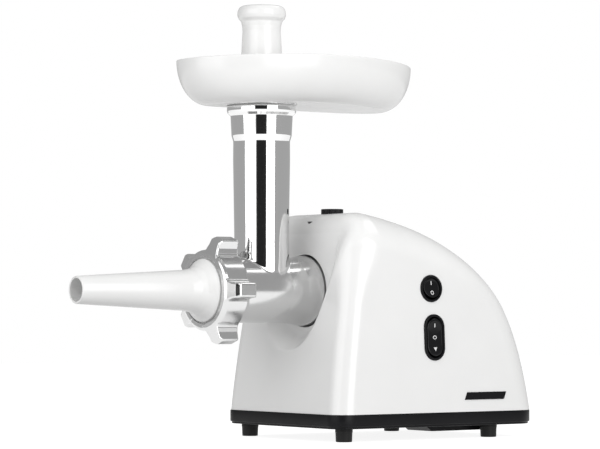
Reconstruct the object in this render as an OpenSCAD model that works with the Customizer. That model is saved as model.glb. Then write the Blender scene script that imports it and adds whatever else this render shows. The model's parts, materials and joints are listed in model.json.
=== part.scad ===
// Electric meat grinder: white housing with a gear motor, and a removable grinding head with tray and pusher.
// Frame: Z up, floor at z = 0, origin at the middle of the footprint, nozzle points to -Y, switches on the +X side.

/* [Housing] */
// Half of the housing's width at its lower edge
body_half_w = 92; // [90:1:95]
// Inward lean of each side over the lean height
side_lean = 8; // [6:1:10]
// Height over which the side lean is measured
lean_height = 165; // [150:1:180]
// Front end of the base
base_front_y = -9; // [-10:0.5:-8]
// Rear end of the base
base_rear_y = 229.6; // [229:0.2:231]
// Lower edge of the white housing
housing_z = 25; // [25:0.5:26]
// Top of the white housing
housing_top_z = 209; // [208:0.5:210]
// Wall of the housing
wall = 2.6; // [2.2:0.1:3]

/* [Feet and base] */
// Height of the rubber feet
foot_h = 12; // [11.5:0.25:12]
// Radius of a foot where it meets the base
foot_r = 8; // [7.5:0.25:8.5]
// Half of the distance between the feet across the base
foot_x = 74; // [72:1:76]
// Floor thickness of the base tray
floor_t = 2.5; // [2:0.25:2.5]

/* [Grinding head] */
// Height of the barrel's axis
axis_z = 137; // [136.5:0.25:137.5]
// Distance of the feed tube's axis in front of the origin
tube_y = 29; // [28.5:0.25:29.5]
// Outer radius of the barrel
barrel_r = 28; // [27.8:0.1:28.4]
// Radius of the auger's bore
bore_r = 24.5; // [24.3:0.1:24.7]
// Inner radius of the feed tube
tube_bore_r = 22.9; // [22.8:0.05:23]
// Top of the feed tube's lip
lip_z = 309.5; // [309:0.1:309.6]
// Outer radius of the clamping ring
ring_r = 37; // [36.5:0.25:37.5]
// Number of grip lugs on the clamping ring
lug_count = 5; // [3:1:6]
// Radius of the cutting plate
plate_r = 27; // [26.8:0.1:27]
// Number of holes in the outer ring of the cutting plate
plate_holes = 14; // [8:1:15]
// Tip of the sausage nozzle in front of the origin
nozzle_tip_y = 228; // [226:0.5:229]
// Radius of the hole in the nozzle's tip
nozzle_hole_r = 10.4; // [10:0.1:10.6]

/* [Tray and pusher] */
// Height of the tray's rim at mid-length
tray_rim_z = 350.5; // [349:0.5:351]
// Half of the tray's length
tray_half_l = 123; // [120:0.5:124]
// Half of the tray's width
tray_half_w = 75; // [72:0.5:76]
// Drop of the tray's ends below its middle
tray_arch = 4; // [3:0.5:4]
// Top of the pusher
pusher_top_z = 399.4; // [397:0.2:401]

/* [Drive] */
// Tooth module of the output stage
output_module = 1.75; // [1.75]
// Teeth of the output gear
output_teeth = 48; // [48]
// Teeth of the pinion that drives the output gear
output_pinion_teeth = 11; // [11]
// Tooth module of the middle stage
middle_module = 1.25; // [1.25]
// Teeth of the middle gear
middle_teeth = 54; // [54]
// Teeth of the pinion that drives the middle gear
middle_pinion_teeth = 10; // [10]
// Tooth module of the first stage
first_module = 1; // [1]
// Teeth of the first gear
first_teeth = 60; // [60]
// Teeth of the motor pinion
motor_teeth = 8; // [8]
// Radius of the motor's rotor
rotor_r = 20; // [19.8:0.1:20.2]

/* [Controls] */
// Centre of the round power switch along Y
power_y = 101; // [99:1:103]
// Centre of the round power switch above the floor
power_z = 139; // [138:1:140]
// Centre of the direction switch along Y
direction_y = 103; // [101:1:105]
// Centre of the direction switch above the floor
direction_z = 94; // [93:1:95]
// Tilt of each switch rocker to either side
rocker_tilt = 8; // [6:1:8]
// Travel of the lock button
button_travel = 3; // [2.5:0.25:3]

/* [Hidden] */
$fn = 64;
eps = 0.02;

// Housing shape
rounding_steps = 6;
edge_r_front = 18;
edge_r_rear = 26;
front_curve = [[base_front_y + 1, housing_z], [-3.5, 80], [9.5, 140], [10.5, 176]];
brow_curve = [[10.5, 176], [11, 198], [24, housing_top_z], [48, housing_top_z]];
rear_curve = [[48, housing_top_z], [171.7, 192.6], [213.9, 133], [base_rear_y, housing_z]];
side_tilt = atan(side_lean / lean_height);
scoop_back_y = 20;
opening_r = 34;

// Base
base_z = foot_h;
floor_top_z = base_z + floor_t;
foot_front_y = 10;
foot_rear_y = 180;
stem_r = 3;
vent_x = 28;
vent_w = 36;
case_screws = [[78, 32], [-78, 32], [76, 202], [-76, 202]];

// Drive layout, seen along Y: x and z of each axis
output_axis = [0, axis_z];
middle_axis_x = -38;
output_distance = output_module * (output_teeth + output_pinion_teeth) / 2;
middle_distance = middle_module * (middle_teeth + middle_pinion_teeth) / 2;
first_distance = first_module * (first_teeth + motor_teeth) / 2;
middle_drop = sqrt(pow(output_distance, 2) - pow(middle_axis_x, 2));
middle_axis = [middle_axis_x, axis_z - middle_drop];
first_angle = -82.2;
first_axis = middle_axis + middle_distance * [cos(first_angle), sin(first_angle)];
motor_angle = acos(-first_axis[0] / first_distance);
motor_axis = first_axis + first_distance * [cos(motor_angle), sin(motor_angle)];
// Turn of each gear at rest that puts a tooth of one into a gap of the other
output_line = atan2(middle_axis[1] - output_axis[1], middle_axis[0] - output_axis[0]);
middle_line = atan2(first_axis[1] - middle_axis[1], first_axis[0] - middle_axis[0]);
first_line = atan2(motor_axis[1] - first_axis[1], motor_axis[0] - first_axis[0]);
case_front_y = 42;
case_wall = 4;
output_gear_y = 50;
output_gear_w = 14;
middle_gear_y = 67;
middle_gear_w = 9;
first_gear_y = 79;
first_gear_w = 8;
cover_y = 90;
cover_t = 3;
gear_pin_r = 4;
first_pin_r = 3;
output_hub_r = 11;
rear_hub_r = 8;
running = 0.05;
shank_half = 5;
socket_gap = 0.35;
case_lug_r = 5;
case_lugs = [[46, 160], [-46, 160], [40, 106], [-64, 40]];

// Motor
stack_y = 112;
stack_l = 38;
stator_half_x = 35;
stator_half_z = 37;
shaft_r = 3;
bearing_r = 8;
slot_count = 12;
motor_screw_at = [[30.5, 32.5], [-30.5, -32.5]];

// Receiver and lock
collar_front_y = 23.4;
collar_r = 33.4;
collar_wall = 4;
flange_r = 32.4;
pilot_r = collar_r - running;
head_rear_y = 40;
pin_y = 31;
pin_r = 3;
lever_y = 43;
lever_z = 192;
button_y = 52;
button_r = 10.4;
button_low_z = 205;
guide_floor_z = button_low_z - button_travel - 3.5;
twist = 45;

// Head
barrel_front_y = -86;
pocket_y = -79.5;
journal_r = 9;
auger_back_y = 9;
flight_r = 23.9;
flight_pitch = 30;
ring_front_y = -94;
ring_back_y = -69;
tray_y = 9.5;
tray_floor_z = 308.5;
tray_wall = 2.2;
tray_inset = 30;
tray_boss_r = 35;
tray_boss_z = 311.9;
spigot_r = 22.3;
spigot_bore_r = 20.9;
pusher_r = 20.4;

// Colours
white = [0.95, 0.95, 0.94];
black = [0.08, 0.08, 0.09];
cast = [0.72, 0.73, 0.74];
bright = [0.82, 0.83, 0.85];
steel = [0.6, 0.61, 0.63];
brass = [0.8, 0.62, 0.28];
copper = [0.72, 0.4, 0.22];
nylon = [0.88, 0.87, 0.8];
rubber = [0.12, 0.12, 0.12];
board_green = [0.1, 0.35, 0.2];

// ---- Shared functions ----

// A point on a cubic curve with four control points
function on_curve(c, t) =
    pow(1 - t, 3) * c[0] + 3 * pow(1 - t, 2) * t * c[1] + 3 * (1 - t) * t * t * c[2] + pow(t, 3) * c[3];
// The direction of travel along a cubic curve
function along_curve(c, t) =
    pow(1 - t, 2) * (c[1] - c[0]) + 2 * (1 - t) * t * (c[2] - c[1]) + t * t * (c[3] - c[2]);
// The housing's side profile: each entry is a point (y, z) and its outward normal
function profile_entry(c, t) =
    let (d = along_curve(c, t), u = d / norm(d))
    [on_curve(c, t), [-u[1], u[0]]];
profile = concat(
    [for (i = [0:7]) profile_entry(front_curve, i / 8)],
    [for (i = [0:7]) profile_entry(brow_curve, i / 8)],
    [for (i = [0:18]) profile_entry(rear_curve, i / 18)]
);
function half_width(z) = body_half_w - side_lean * (z - housing_z) / lean_height;
function edge_r(y) = edge_r_front + (edge_r_rear - edge_r_front) * min(1, max(0, (y - 20) / 60));
// One vertex of the housing skin, set in by a wall thickness; turn runs from 0 on the back to 90 on the side
function skin_point(row, turn, side, inset, low_z) =
    let (ends = row == 0 || row == len(profile) - 1)
    let (p = profile[row][0], n = ends ? [sign(profile[row][1][0]), 0] : profile[row][1])
    let (r = edge_r(p[0]) - inset)
    let (q = p - n * (inset + r * (1 - cos(turn))))
    let (z = ends ? low_z : q[1])
    [side * (half_width(z) - inset - r * (1 - sin(turn))), q[0], z];

// ---- Shared modules ----

// Columns of the housing's skin: the turn from the back to the side, and which side
skin_columns = concat(
    [for (k = [rounding_steps:-1:0]) [90 * k / rounding_steps, -1]],
    [for (k = [0:rounding_steps]) [90 * k / rounding_steps, 1]]
);
skin_wide = len(skin_columns);
skin_rows = len(profile);
function skin_points(inset, low_z) =
    [for (i = [0:skin_rows - 1], c = skin_columns) skin_point(i, c[0], c[1], inset, low_z)];
// Faces of the skin's top and sides, as they look from outside
skin_faces = concat(
    [
        for (i = [0:skin_rows - 2], j = [0:skin_wide - 2])
        let (a = i * skin_wide + j, b = a + skin_wide)
        each [[a, b, b + 1], [a, b + 1, a + 1]]
    ],
    [[for (i = [skin_rows - 1:-1:0]) i * skin_wide]],
    [[for (i = [0:skin_rows - 1]) i * skin_wide + skin_wide - 1]]
);
skin_rim = concat(
    [for (j = [0:skin_wide - 1]) j],
    [for (j = [skin_wide - 1:-1:0]) (skin_rows - 1) * skin_wide + j]
);

// A closed solid with the housing's outer shape, set in by a wall thickness
module housing_form(inset, low_z) {
    polyhedron(skin_points(inset, low_z), concat(skin_faces, [skin_rim]), convexity = 6);
}

// The housing's wall as one closed shell, open at the bottom
module housing_skin() {
    count = skin_rows * skin_wide;
    edge = len(skin_rim);
    inside = [for (f = skin_faces) [for (k = [len(f) - 1:-1:0]) f[k] + count]];
    rim = [
        for (k = [0:edge - 1])
        let (a = skin_rim[k], b = skin_rim[(k + 1) % edge])
        each [[a, b, b + count], [a, b + count, a + count]]
    ];
    points = concat(skin_points(0, housing_z), skin_points(wall, housing_z));
    polyhedron(points, concat(skin_faces, inside, rim), convexity = 8);
}

// The scooped recess in the front: a loft of U shapes that narrow toward the back wall
module scoop_form(grow, back_y) {
    steps = 10;
    top_z = 222;
    stations = [-14, 6, back_y];
    section = [
        for (y = stations)
        let (half = 64 - (y - 6) * 24 / 14 + grow, low = 83.6 + (y - 1.5) * 13.4 / 18.5 - grow)
        let (reach = half * pow((top_z - low) / (axis_z - low), 0.42))
        [for (k = [-steps:steps])
            [reach * k / steps, y, low + (top_z - low) * pow(abs(k) / steps, 1 / 0.42)]]
    ];
    wide = 2 * steps + 1;
    sides = [
        for (i = [0:len(stations) - 2], j = [0:wide - 1])
        let (n = (j + 1) % wide)
        each [
            [i * wide + j, (i + 1) * wide + n, (i + 1) * wide + j],
            [i * wide + j, i * wide + n, (i + 1) * wide + n]
        ]
    ];
    first = [for (j = [wide - 1:-1:0]) j];
    final = [for (j = [0:wide - 1]) (len(stations) - 1) * wide + j];
    polyhedron([for (s = section, p = s) p], concat(sides, [first, final]), convexity = 4);
}

// A cylinder along Y between two stations, at a place (x, z)
module along_y(r, y0, y1, at = [0, axis_z], fn = 64) {
    translate([at[0], y0, at[1]])
        rotate([-90, 0, 0])
            cylinder(r = r, h = y1 - y0, $fn = fn);
}

// A tube along Y
module tube_y(r_out, r_in, y0, y1, at = [0, axis_z]) {
    difference() {
        along_y(r_out, y0, y1, at);
        along_y(r_in, y0 - 1, y1 + 1, at);
    }
}

// A turned shape around the barrel's axis: the outline's points are (radius, y)
module turned_y(outline) {
    translate([0, 0, axis_z])
        rotate([-90, 0, 0])
            rotate_extrude()
                polygon(outline);
}

// A block between two corners
module block(low, high) {
    translate(low)
        cube(high - low);
}

// A plate with round corners seen from above, tighter at the front than at the rear
module round_plate(half_x, y0, y1, inset, z0, z1) {
    front_r = edge_r_front - inset;
    rear_r = edge_r_rear - inset;
    for (side = [-1, 1]) {
        translate([side * (half_x - front_r), y0 + front_r, z0])
            cylinder(r = front_r, h = z1 - z0);
        translate([side * (half_x - rear_r), y1 - rear_r, z0])
            cylinder(r = rear_r, h = z1 - z0);
    }
    block([front_r - half_x, y0, z0], [half_x - front_r, y0 + 60, z1]);
    block([rear_r - half_x, y0 + 50, z0], [half_x - rear_r, y1, z1]);
    block([-half_x, y0 + front_r, z0], [half_x, y1 - rear_r, z1]);
}

// A plate with round corners, its long side along local Y, centred on the origin
module round_block(half_x, half_y, r, z0, z1) {
    for (x = [r - half_x, half_x - r], y = [r - half_y, half_y - r])
        translate([x, y, z0])
            cylinder(r = r, h = z1 - z0);
    block([r - half_x, -half_y, z0], [half_x - r, half_y, z1]);
    block([-half_x, r - half_y, z0], [half_x, half_y - r, z1]);
}

// Places children on the right side face: local Z points out of the face, local X points down
module on_side(y, z) {
    translate([half_width(z), y, z])
        rotate([0, 90 - side_tilt, 0])
            children();
}

function flank_angle(base, r) = r <= base ? 0 : sqrt(pow(r / base, 2) - 1) * 180 / PI;
function polar_turn(base, r) = r <= base ? 0 : flank_angle(base, r) - acos(base / r);
// The outline of a spur gear with involute flanks; thin is taken off each flank
module gear_2d(size, teeth, top = 0.8, thin = 0.1, root = 1.2) {
    pitch_r = size * teeth / 2;
    base = pitch_r * cos(20);
    tip_r = pitch_r + top * size;
    root_r = pitch_r - root * size;
    half_tooth = 90 / teeth - thin * size / pitch_r * 180 / PI + polar_turn(base, pitch_r);
    radii = [for (k = [0:3]) max(root_r, base) + (tip_r - max(root_r, base)) * k / 3];
    flank = concat([[root_r, half_tooth]], [for (r = radii) [r, half_tooth - polar_turn(base, r)]]);
    polygon([
        for (t = [0:teeth - 1])
        let (a = 360 * t / teeth)
        each concat(
            [for (p = flank) p[0] * [cos(a - p[1]), sin(a - p[1])]],
            [for (k = [len(flank) - 1:-1:0]) flank[k][0] * [cos(a + flank[k][1]), sin(a + flank[k][1])]]
        )
    ]);
}

// A spur gear along Y; turn is measured in the x, z plane from +X toward +Z
module spur(size, teeth, at, y0, w, turn, top = 0.8, thin = 0.1, root = 1.2) {
    translate([at[0], y0 + w, at[1]])
        rotate([90, 0, 0])
            rotate(turn)
                linear_extrude(height = w, convexity = 6)
                    gear_2d(size, teeth, top, thin, root);
}

// A pan-head screw along Y, with its head at the rear
module rear_screw(at, tip_y, seat_y, r) {
    along_y(r, tip_y, seat_y + 1, at);
    difference() {
        along_y(2 * r, seat_y, seat_y + 2.2, at);
        block([at[0] - 0.4, seat_y + 1.4, at[1] - 1.6 * r], [at[0] + 0.4, seat_y + 3, at[1] + 1.6 * r]);
    }
}

// ---- Housing ----

module housing_shell() color(white) {
    difference() {
        union() {
            housing_skin();
            intersection() {
                housing_form(wall / 3, housing_z + 5);
                scoop_form(wall, scoop_back_y + wall);
            }
        }
        scoop_form(0, scoop_back_y);
        along_y(opening_r, 10, 30);
        translate([0, button_y, 190])
            cylinder(r = button_r + 0.5, h = 30);
        on_side(power_y, power_z)
            translate([0, 0, -20])
                cylinder(r = 11.6, h = 30);
        on_side(direction_y, direction_z)
            round_block(20.5, 10.6, 10.5, -20, 10);
    }
    difference() {
        for (s = case_screws)
            screw_post(s);
        for (s = case_screws)
            translate([s[0], s[1], housing_z - 1])
                cylinder(r = 2, h = 20);
    }
}

// A post that takes one case screw, with a rib to the side wall
module screw_post(at) {
    translate([at[0], at[1], housing_z])
        cylinder(r = 5.5, h = 24);
    block([min(at[0], sign(at[0]) * 89.6), at[1] - 1, housing_z],
        [max(at[0], sign(at[0]) * 89.6), at[1] + 1, housing_z + 22]);
}

// ---- Base ----

module base_tray() color(black) {
    difference() {
        union() {
            round_plate(body_half_w - 1.5, base_front_y + 1.5, base_rear_y - 1.5, 1.5, base_z, base_z + 2);
            round_plate(body_half_w, base_front_y, base_rear_y, 0, base_z + 2, housing_z - eps);
        }
        round_plate(body_half_w - 3, base_front_y + 3, base_rear_y - 3, 3, floor_top_z, housing_z + 1);
        for (x = [-foot_x, foot_x], y = [foot_front_y, foot_rear_y])
            translate([x, y, base_z - 1])
                cylinder(r = stem_r, h = 10);
        for (s = case_screws)
            translate([s[0], s[1], base_z - 1])
                cylinder(r = 4.2, h = 4);
        for (k = [0:3])
            block([vent_x + 6 + k * 7, 126, base_z - 1], [vent_x + 9 + k * 7, 186, base_z + 5]);
        along_y(3.6, base_rear_y - 8, base_rear_y + 2, gland_at);
    }
    for (s = case_screws)
        base_post(s);
    for (y = [115, 143])
        block([-30, y, floor_top_z - eps], [30, y + 4, 29]);
}

gland_at = [-55, 18.8];

// A post around one case screw, with a recess for its head below
module base_post(at) {
    difference() {
        translate([at[0], at[1], base_z + 1])
            cylinder(r = 6, h = housing_z - base_z - 1 - eps);
        translate([at[0], at[1], base_z - 1])
            cylinder(r = 4.2, h = 4);
        translate([at[0], at[1], base_z])
            cylinder(r = 2.3, h = 20);
    }
}

module base_screws() color(steel)
    for (s = case_screws)
        translate([s[0], s[1], 0]) {
            translate([0, 0, base_z + 0.8])
                cylinder(r = 3.9, h = 2.2);
            translate([0, 0, base_z + 2.8])
                cylinder(r = 1.95, h = 26);
        }

module rubber_foot(x, y) color(rubber)
    translate([x, y, 0]) {
        difference() {
            cylinder(r1 = foot_r - 0.6, r2 = foot_r, h = foot_h);
            translate([0, 0, -1])
                cylinder(r = 2.5, h = 4);
        }
        translate([0, 0, foot_h - 1])
            cylinder(r = stem_r, h = 4);
    }

module vent_cover() color(black)
    difference() {
        vent_wedge(0);
        vent_wedge(2);
        for (k = [0:3])
            block([vent_x + 6 + k * 7, 124, 4], [vent_x + 9 + k * 7, 188, 9]);
    }

// The wedge-fronted shape of the vent cover, set in by a wall
module vent_wedge(inset)
    translate([vent_x + inset, 0, 0])
        rotate([90, 0, 90])
            linear_extrude(height = vent_w - 2 * inset)
                polygon([
                    [112 + inset * 1.4, base_z + inset],
                    [120 + inset, 6.4 + inset],
                    [194 - inset, 6.4 + inset],
                    [198 - inset, base_z + inset]
                ]);

module cord_gland() color(black)
    difference() {
        union() {
            along_y(5.4, base_rear_y, base_rear_y + 1.6, gland_at);
            along_y(3.6, base_rear_y - 5, base_rear_y + 1, gland_at);
        }
        along_y(2.6, base_rear_y - 9, base_rear_y + 9, gland_at);
    }

module badge() color(black)
    on_side(162, 39.5)
        intersection() {
            block([-3.5, -25, 0], [3.5, 25, 0.7]);
            linear_extrude(height = 3)
                polygon([[3.5, -25], [-3.5, -22], [-3.5, 25], [3.5, 22]]);
        }

// ---- Switches ----

module power_bezel() color(black)
    on_side(power_y, power_z)
        rotate_extrude()
            polygon([[10.3, 0], [12.6, 0], [12.4, 1.2], [11.6, 1.8], [10.3, 1.8]]);

module power_switch_body() color(black)
    on_side(power_y, power_z) {
        difference() {
            translate([0, 0, -18])
                cylinder(r = 11.4, h = 18 - eps);
            translate([0, 0, -7.5])
                cylinder(r = 10.3, h = 10);
            translate([0, 12, -3])
                rotate([90, 0, 0])
                    cylinder(r = 1.2 + running, h = 24);
        }
        for (x = [-5, 0, 5])
            block([x - 0.5, -2.5, -26], [x + 0.5, 2.5, -17.9]);
    }

module power_rocker() color(black)
    on_side(power_y, power_z)
        translate([0, 0, -3])
            rotate([0, -rocker_tilt, 0]) {
                intersection() {
                    translate([0, 0, -2])
                        cylinder(r = 9.2, h = 9);
                    rotate([90, 0, 0])
                        translate([0, 0, -10])
                            linear_extrude(height = 20)
                                polygon([[-9.5, -1.8], [9.5, -1.8], [9.5, 5.2], [0, 4.1], [-9.5, 5.2]]);
                }
                translate([0, 11, 0])
                    rotate([90, 0, 0])
                        cylinder(r = 1.2, h = 22);
            }

module direction_bezel() color(black)
    on_side(direction_y, direction_z)
        difference() {
            union() {
                round_block(21.4, 12, 11.9, 0, 1.2);
                round_block(20.8, 11.4, 11.3, 1.2, 1.8);
            }
            round_block(19, 9.4, 9.3, -1, 4);
        }

module direction_switch_body() color(black)
    on_side(direction_y, direction_z) {
        difference() {
            round_block(20.3, 10.4, 10.3, -20, -eps);
            round_block(19, 9.4, 9.3, -10.5, 1);
            translate([0, 12, -5])
                rotate([90, 0, 0])
                    cylinder(r = 1.5 + running, h = 24);
        }
        for (x = [-13, 0, 13], y = [-5, 5])
            block([x - 2.5, y - 0.5, -28], [x + 2.5, y + 0.5, -19.9]);
    }

module direction_rocker() color(black)
    on_side(direction_y, direction_z)
        translate([0, 0, -5]) {
            intersection() {
                round_block(17.2, 8.8, 8.7, -3, 9);
                rotate([90, 0, 0])
                    translate([0, 0, -10])
                        linear_extrude(height = 20)
                            polygon([[-17.5, -2.4], [17.5, -2.4], [17.5, 7.6], [0, 6.2], [-17.5, 7.6]]);
            }
            translate([0, 10.2, 0])
                rotate([90, 0, 0])
                    cylinder(r = 1.5, h = 20.4);
        }

module control_board() color(board_green) {
    block([52, 60, 30], [53.6, 160, 74]);
    for (y = [66, 154])
        block([48, y - 3, floor_top_z], [57, y + 3, 34]);
    translate([53.6 - eps, 100, 52])
        rotate([0, 90, 0])
            cylinder(r = 9, h = 16);
    block([53.6 - eps, 122, 40], [66, 146, 60]);
    block([53.6 - eps, 66, 42], [63, 84, 66]);
}

// ---- Gearbox ----

// The lobed outline of the gearbox: a round chamber around each axis
module case_lobes(grow, y0, y1) {
    along_y(45 + grow, y0, y1, output_axis);
    along_y(36.2 + grow, y0, y1, middle_axis);
    along_y(32.2 + grow, y0, y1, first_axis);
    along_y(8 + grow, y0, y1, motor_axis);
}

module gearbox_case() color(cast) {
    difference() {
        union() {
            case_lobes(2.5, case_front_y, cover_y);
            for (l = case_lugs)
                along_y(case_lug_r, case_front_y + 10, cover_y, l);
            block([-52, case_front_y, floor_top_z], [16, case_front_y + case_wall, 60]);
            along_y(collar_r + collar_wall, collar_front_y, case_front_y + 1);
            translate([0, pin_y, axis_z + collar_r + 1])
                cylinder(r = 6, h = 12);
            for (x = [-9.4, 6.6])
                block([x, lever_y - 3.4, 176], [x + 2.8, lever_y + 3.4, lever_z + 3.4]);
        }
        case_lobes(0, case_front_y + case_wall, cover_y + 1);
        along_y(collar_r, collar_front_y - 1, head_rear_y + 0.6);
        along_y(13.5, case_front_y - 3, 60, output_axis);
        along_y(gear_pin_r, case_front_y - 1, 60, middle_axis);
        along_y(first_pin_r, case_front_y - 1, 60, first_axis);
        for (l = case_lugs)
            along_y(1.6, case_front_y + 20, cover_y + 1, l);
        translate([0, pin_y, 160])
            cylinder(r = pin_r + running, h = 30);
        translate([-20, lever_y, lever_z])
            rotate([0, 90, 0])
                cylinder(r = 1.5, h = 40);
    }
}

module gearbox_cover() color(cast)
    difference() {
        union() {
            case_lobes(2.5, cover_y, cover_y + cover_t);
            for (l = case_lugs)
                along_y(case_lug_r, cover_y, cover_y + cover_t, l);
            along_y(13.5, 85, cover_y + 1, output_axis);
            block([-52, cover_y, floor_top_z], [16, cover_y + cover_t, 60]);
        }
        along_y(10.5, 80, cover_y + 10, output_axis);
        along_y(gear_pin_r, 80, cover_y + 10, middle_axis);
        along_y(first_pin_r, 80, cover_y + 10, first_axis);
        along_y(6.5, 80, cover_y + 10, motor_axis);
        for (l = case_lugs)
            along_y(1.8, 80, cover_y + 10, l);
    }

module gearbox_screws() color(steel)
    for (l = case_lugs)
        rear_screw(l, 66, cover_y + cover_t, 1.6);

module gear_pins() color(steel) {
    along_y(gear_pin_r, case_front_y + 0.5, cover_y + cover_t, middle_axis);
    along_y(first_pin_r, case_front_y + 0.5, cover_y + cover_t, first_axis);
}

module output_bushes() color(brass) {
    tube_y(13.5, output_hub_r + running, head_rear_y + 2, 49, output_axis);
    tube_y(10.5, rear_hub_r + running, 85, cover_y + cover_t, output_axis);
}

module output_gear() color(steel)
    difference() {
        union() {
            spur(output_module, output_teeth, output_axis, output_gear_y, output_gear_w, output_line);
            along_y(output_hub_r, head_rear_y + 2.5, output_gear_y + 1, output_axis);
            along_y(rear_hub_r, output_gear_y + output_gear_w - 1, cover_y + 2.5, output_axis);
        }
        block([-shank_half - socket_gap, 30, axis_z - shank_half - socket_gap],
            [shank_half + socket_gap, 62, axis_z + shank_half + socket_gap]);
        for (a = [30:60:330])
            along_y(7, 40, 80, output_axis + 27 * [cos(a), sin(a)]);
    }

module middle_gear() color(nylon)
    difference() {
        union() {
            spur(middle_module, middle_teeth, middle_axis, middle_gear_y, middle_gear_w, middle_line);
            spur(output_module, output_pinion_teeth, middle_axis, 49.5, 17.6,
                output_line + 180 + 180 / output_pinion_teeth, 0.7, 0.12);
            along_y(8, middle_gear_y + middle_gear_w - 1, 89, middle_axis);
        }
        along_y(gear_pin_r + running, 40, 100, middle_axis);
    }

module first_gear() color(nylon)
    difference() {
        union() {
            spur(first_module, first_teeth, first_axis, first_gear_y, first_gear_w, first_line);
            spur(middle_module, middle_pinion_teeth, first_axis, 66, 13.1,
                middle_line + 180 + 180 / middle_pinion_teeth, 0.7, 0.12);
            along_y(4.4, 47, 67, first_axis);
        }
        along_y(first_pin_r + running, 40, 100, first_axis);
    }

// ---- Motor ----

module motor_pinion() color(steel)
    difference() {
        spur(first_module, motor_teeth, motor_axis, 78.5, 9.5, first_line + 180 + 180 / motor_teeth, 0.7, 0.12);
        along_y(1.6, 70, 100, motor_axis);
    }

module rotor_shaft() color(steel) {
    along_y(1.6, 78.5, 90, motor_axis);
    along_y(shaft_r, 89.5, 196, motor_axis);
}

module rotor_core() color(steel)
    difference() {
        along_y(rotor_r, stack_y, stack_y + stack_l, motor_axis);
        along_y(shaft_r, 100, 160, motor_axis);
        for (k = [1:slot_count])
            along_y(2.6, 100, 160, motor_axis + 15.6 * [cos(30 * k), sin(30 * k)]);
    }

module rotor_windings() color(copper) {
    for (k = [1:slot_count])
        along_y(2.6, stack_y, stack_y + stack_l, motor_axis + 15.6 * [cos(30 * k), sin(30 * k)]);
    tube_y(18.8, 6, stack_y - 7, stack_y, motor_axis);
    tube_y(18.8, 6, stack_y + stack_l, stack_y + stack_l + 7, motor_axis);
}

module commutator() color(copper)
    difference() {
        along_y(10.5, 160, 173, motor_axis);
        along_y(shaft_r, 150, 180, motor_axis);
        for (k = [1:slot_count])
            translate([motor_axis[0], 166, motor_axis[1]])
                rotate([0, 30 * k + 15, 0])
                    block([9.6, -8, -0.3], [12, 8, 0.3]);
    }

module cooling_fan() color(black) {
    difference() {
        union() {
            along_y(29, 193, 194.5, motor_axis);
            along_y(7, 188, 195, motor_axis);
        }
        along_y(shaft_r, 180, 200, motor_axis);
    }
    for (k = [1:11])
        translate([motor_axis[0], 0, motor_axis[1]])
            rotate([0, 360 * k / 11, 0])
                block([6, 188, -0.7], [28, 194, 0.7]);
}

module motor_stator() color(steel)
    translate([motor_axis[0], 0, motor_axis[1]])
        difference() {
            union() {
                difference() {
                    block([-stator_half_x, stack_y, -stator_half_z], [stator_half_x, stack_y + stack_l, stator_half_z]);
                    block([-29, stack_y - 1, -30], [29, stack_y + stack_l + 1, 30]);
                }
                block([-14, stack_y, -31], [14, stack_y + stack_l, 31]);
                block([-18, stack_y, -23], [18, stack_y + stack_l, 23]);
            }
            along_y(rotor_r + 0.8, stack_y - 1, stack_y + stack_l + 1, [0, 0]);
            block([-30, stack_y - 1, -9], [30, stack_y + stack_l + 1, 9]);
            for (p = motor_screw_at)
                along_y(1.7, stack_y - 1, stack_y + stack_l + 1, p);
        }

module motor_coils() color(copper)
    translate([motor_axis[0], 0, motor_axis[1]])
        for (side = [-1, 1])
            translate([0, stack_y + stack_l / 2, side * 26.5])
                difference() {
                    cube([54, stack_l + 20, 6.4], center = true);
                    cube([28.8, stack_l + 0.8, 8], center = true);
                }

module motor_front_bracket() color(cast)
    difference() {
        union() {
            motor_plate(94, 98);
            along_y(10.5, 94, 103, motor_axis);
            for (p = [[30, 0], [-30, 0]])
                translate([motor_axis[0], 0, motor_axis[1]])
                    block([p[0] - 4.5, 94, -16], [p[0] + 4.5, stack_y, 16]);
        }
        along_y(bearing_r, 96, 110, motor_axis);
        along_y(shaft_r + 1, 80, 110, motor_axis);
        for (p = motor_screw_at)
            along_y(1.7, 80, 110, motor_axis + p);
    }

module motor_rear_bracket() color(cast)
    difference() {
        union() {
            motor_plate(176, 180);
            along_y(10.5, 176, 186, motor_axis);
            for (p = [[31, 0], [-31, 0]])
                translate([motor_axis[0], 0, motor_axis[1]])
                    block([p[0] - 3.5, stack_y + stack_l, -16], [p[0] + 3.5, 178, 16]);
        }
        along_y(bearing_r, 174, 184, motor_axis);
        along_y(shaft_r + 1, 170, 190, motor_axis);
        for (x = [-36, 36])
            translate([motor_axis[0] + x, 166, motor_axis[1]])
                cube([20, 10.6, 8.6], center = true);
        for (p = motor_screw_at)
            along_y(1.7, 170, 190, motor_axis + p);
    }

// A motor end plate with cooling openings
module motor_plate(y0, y1)
    translate([motor_axis[0], 0, motor_axis[1]])
        difference() {
            block([-stator_half_x, y0, -stator_half_z], [stator_half_x, y1, stator_half_z]);
            for (a = [45:90:315])
                along_y(8, y0 - 1, y1 + 1, 23 * [cos(a), sin(a)]);
        }

module motor_bearings() color(bright) {
    tube_y(bearing_r, shaft_r + running, 96.5, 103, motor_axis);
    tube_y(bearing_r, shaft_r + running, 177, 184, motor_axis);
}

module motor_screws() color(steel)
    for (p = motor_screw_at)
        rear_screw(motor_axis + p, 94, 180, 1.7);

module brush_holders() color(brass)
    for (side = [-1, 1])
        translate([motor_axis[0] + side * 23, 166, motor_axis[1]])
            difference() {
                cube([20, 10.6, 8.6], center = true);
                translate([-side, 0, 0])
                    cube([20, 8.2, 6.2], center = true);
            }

module carbon_brushes() color(black)
    for (side = [-1, 1])
        translate([motor_axis[0] + side * 20, 166, motor_axis[1]])
            cube([18, 8, 6], center = true);

module motor_pads() color(rubber)
    for (y = [114, 142])
        block([-30, y, 29], [30, y + 6, motor_axis[1] - stator_half_z]);

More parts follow.
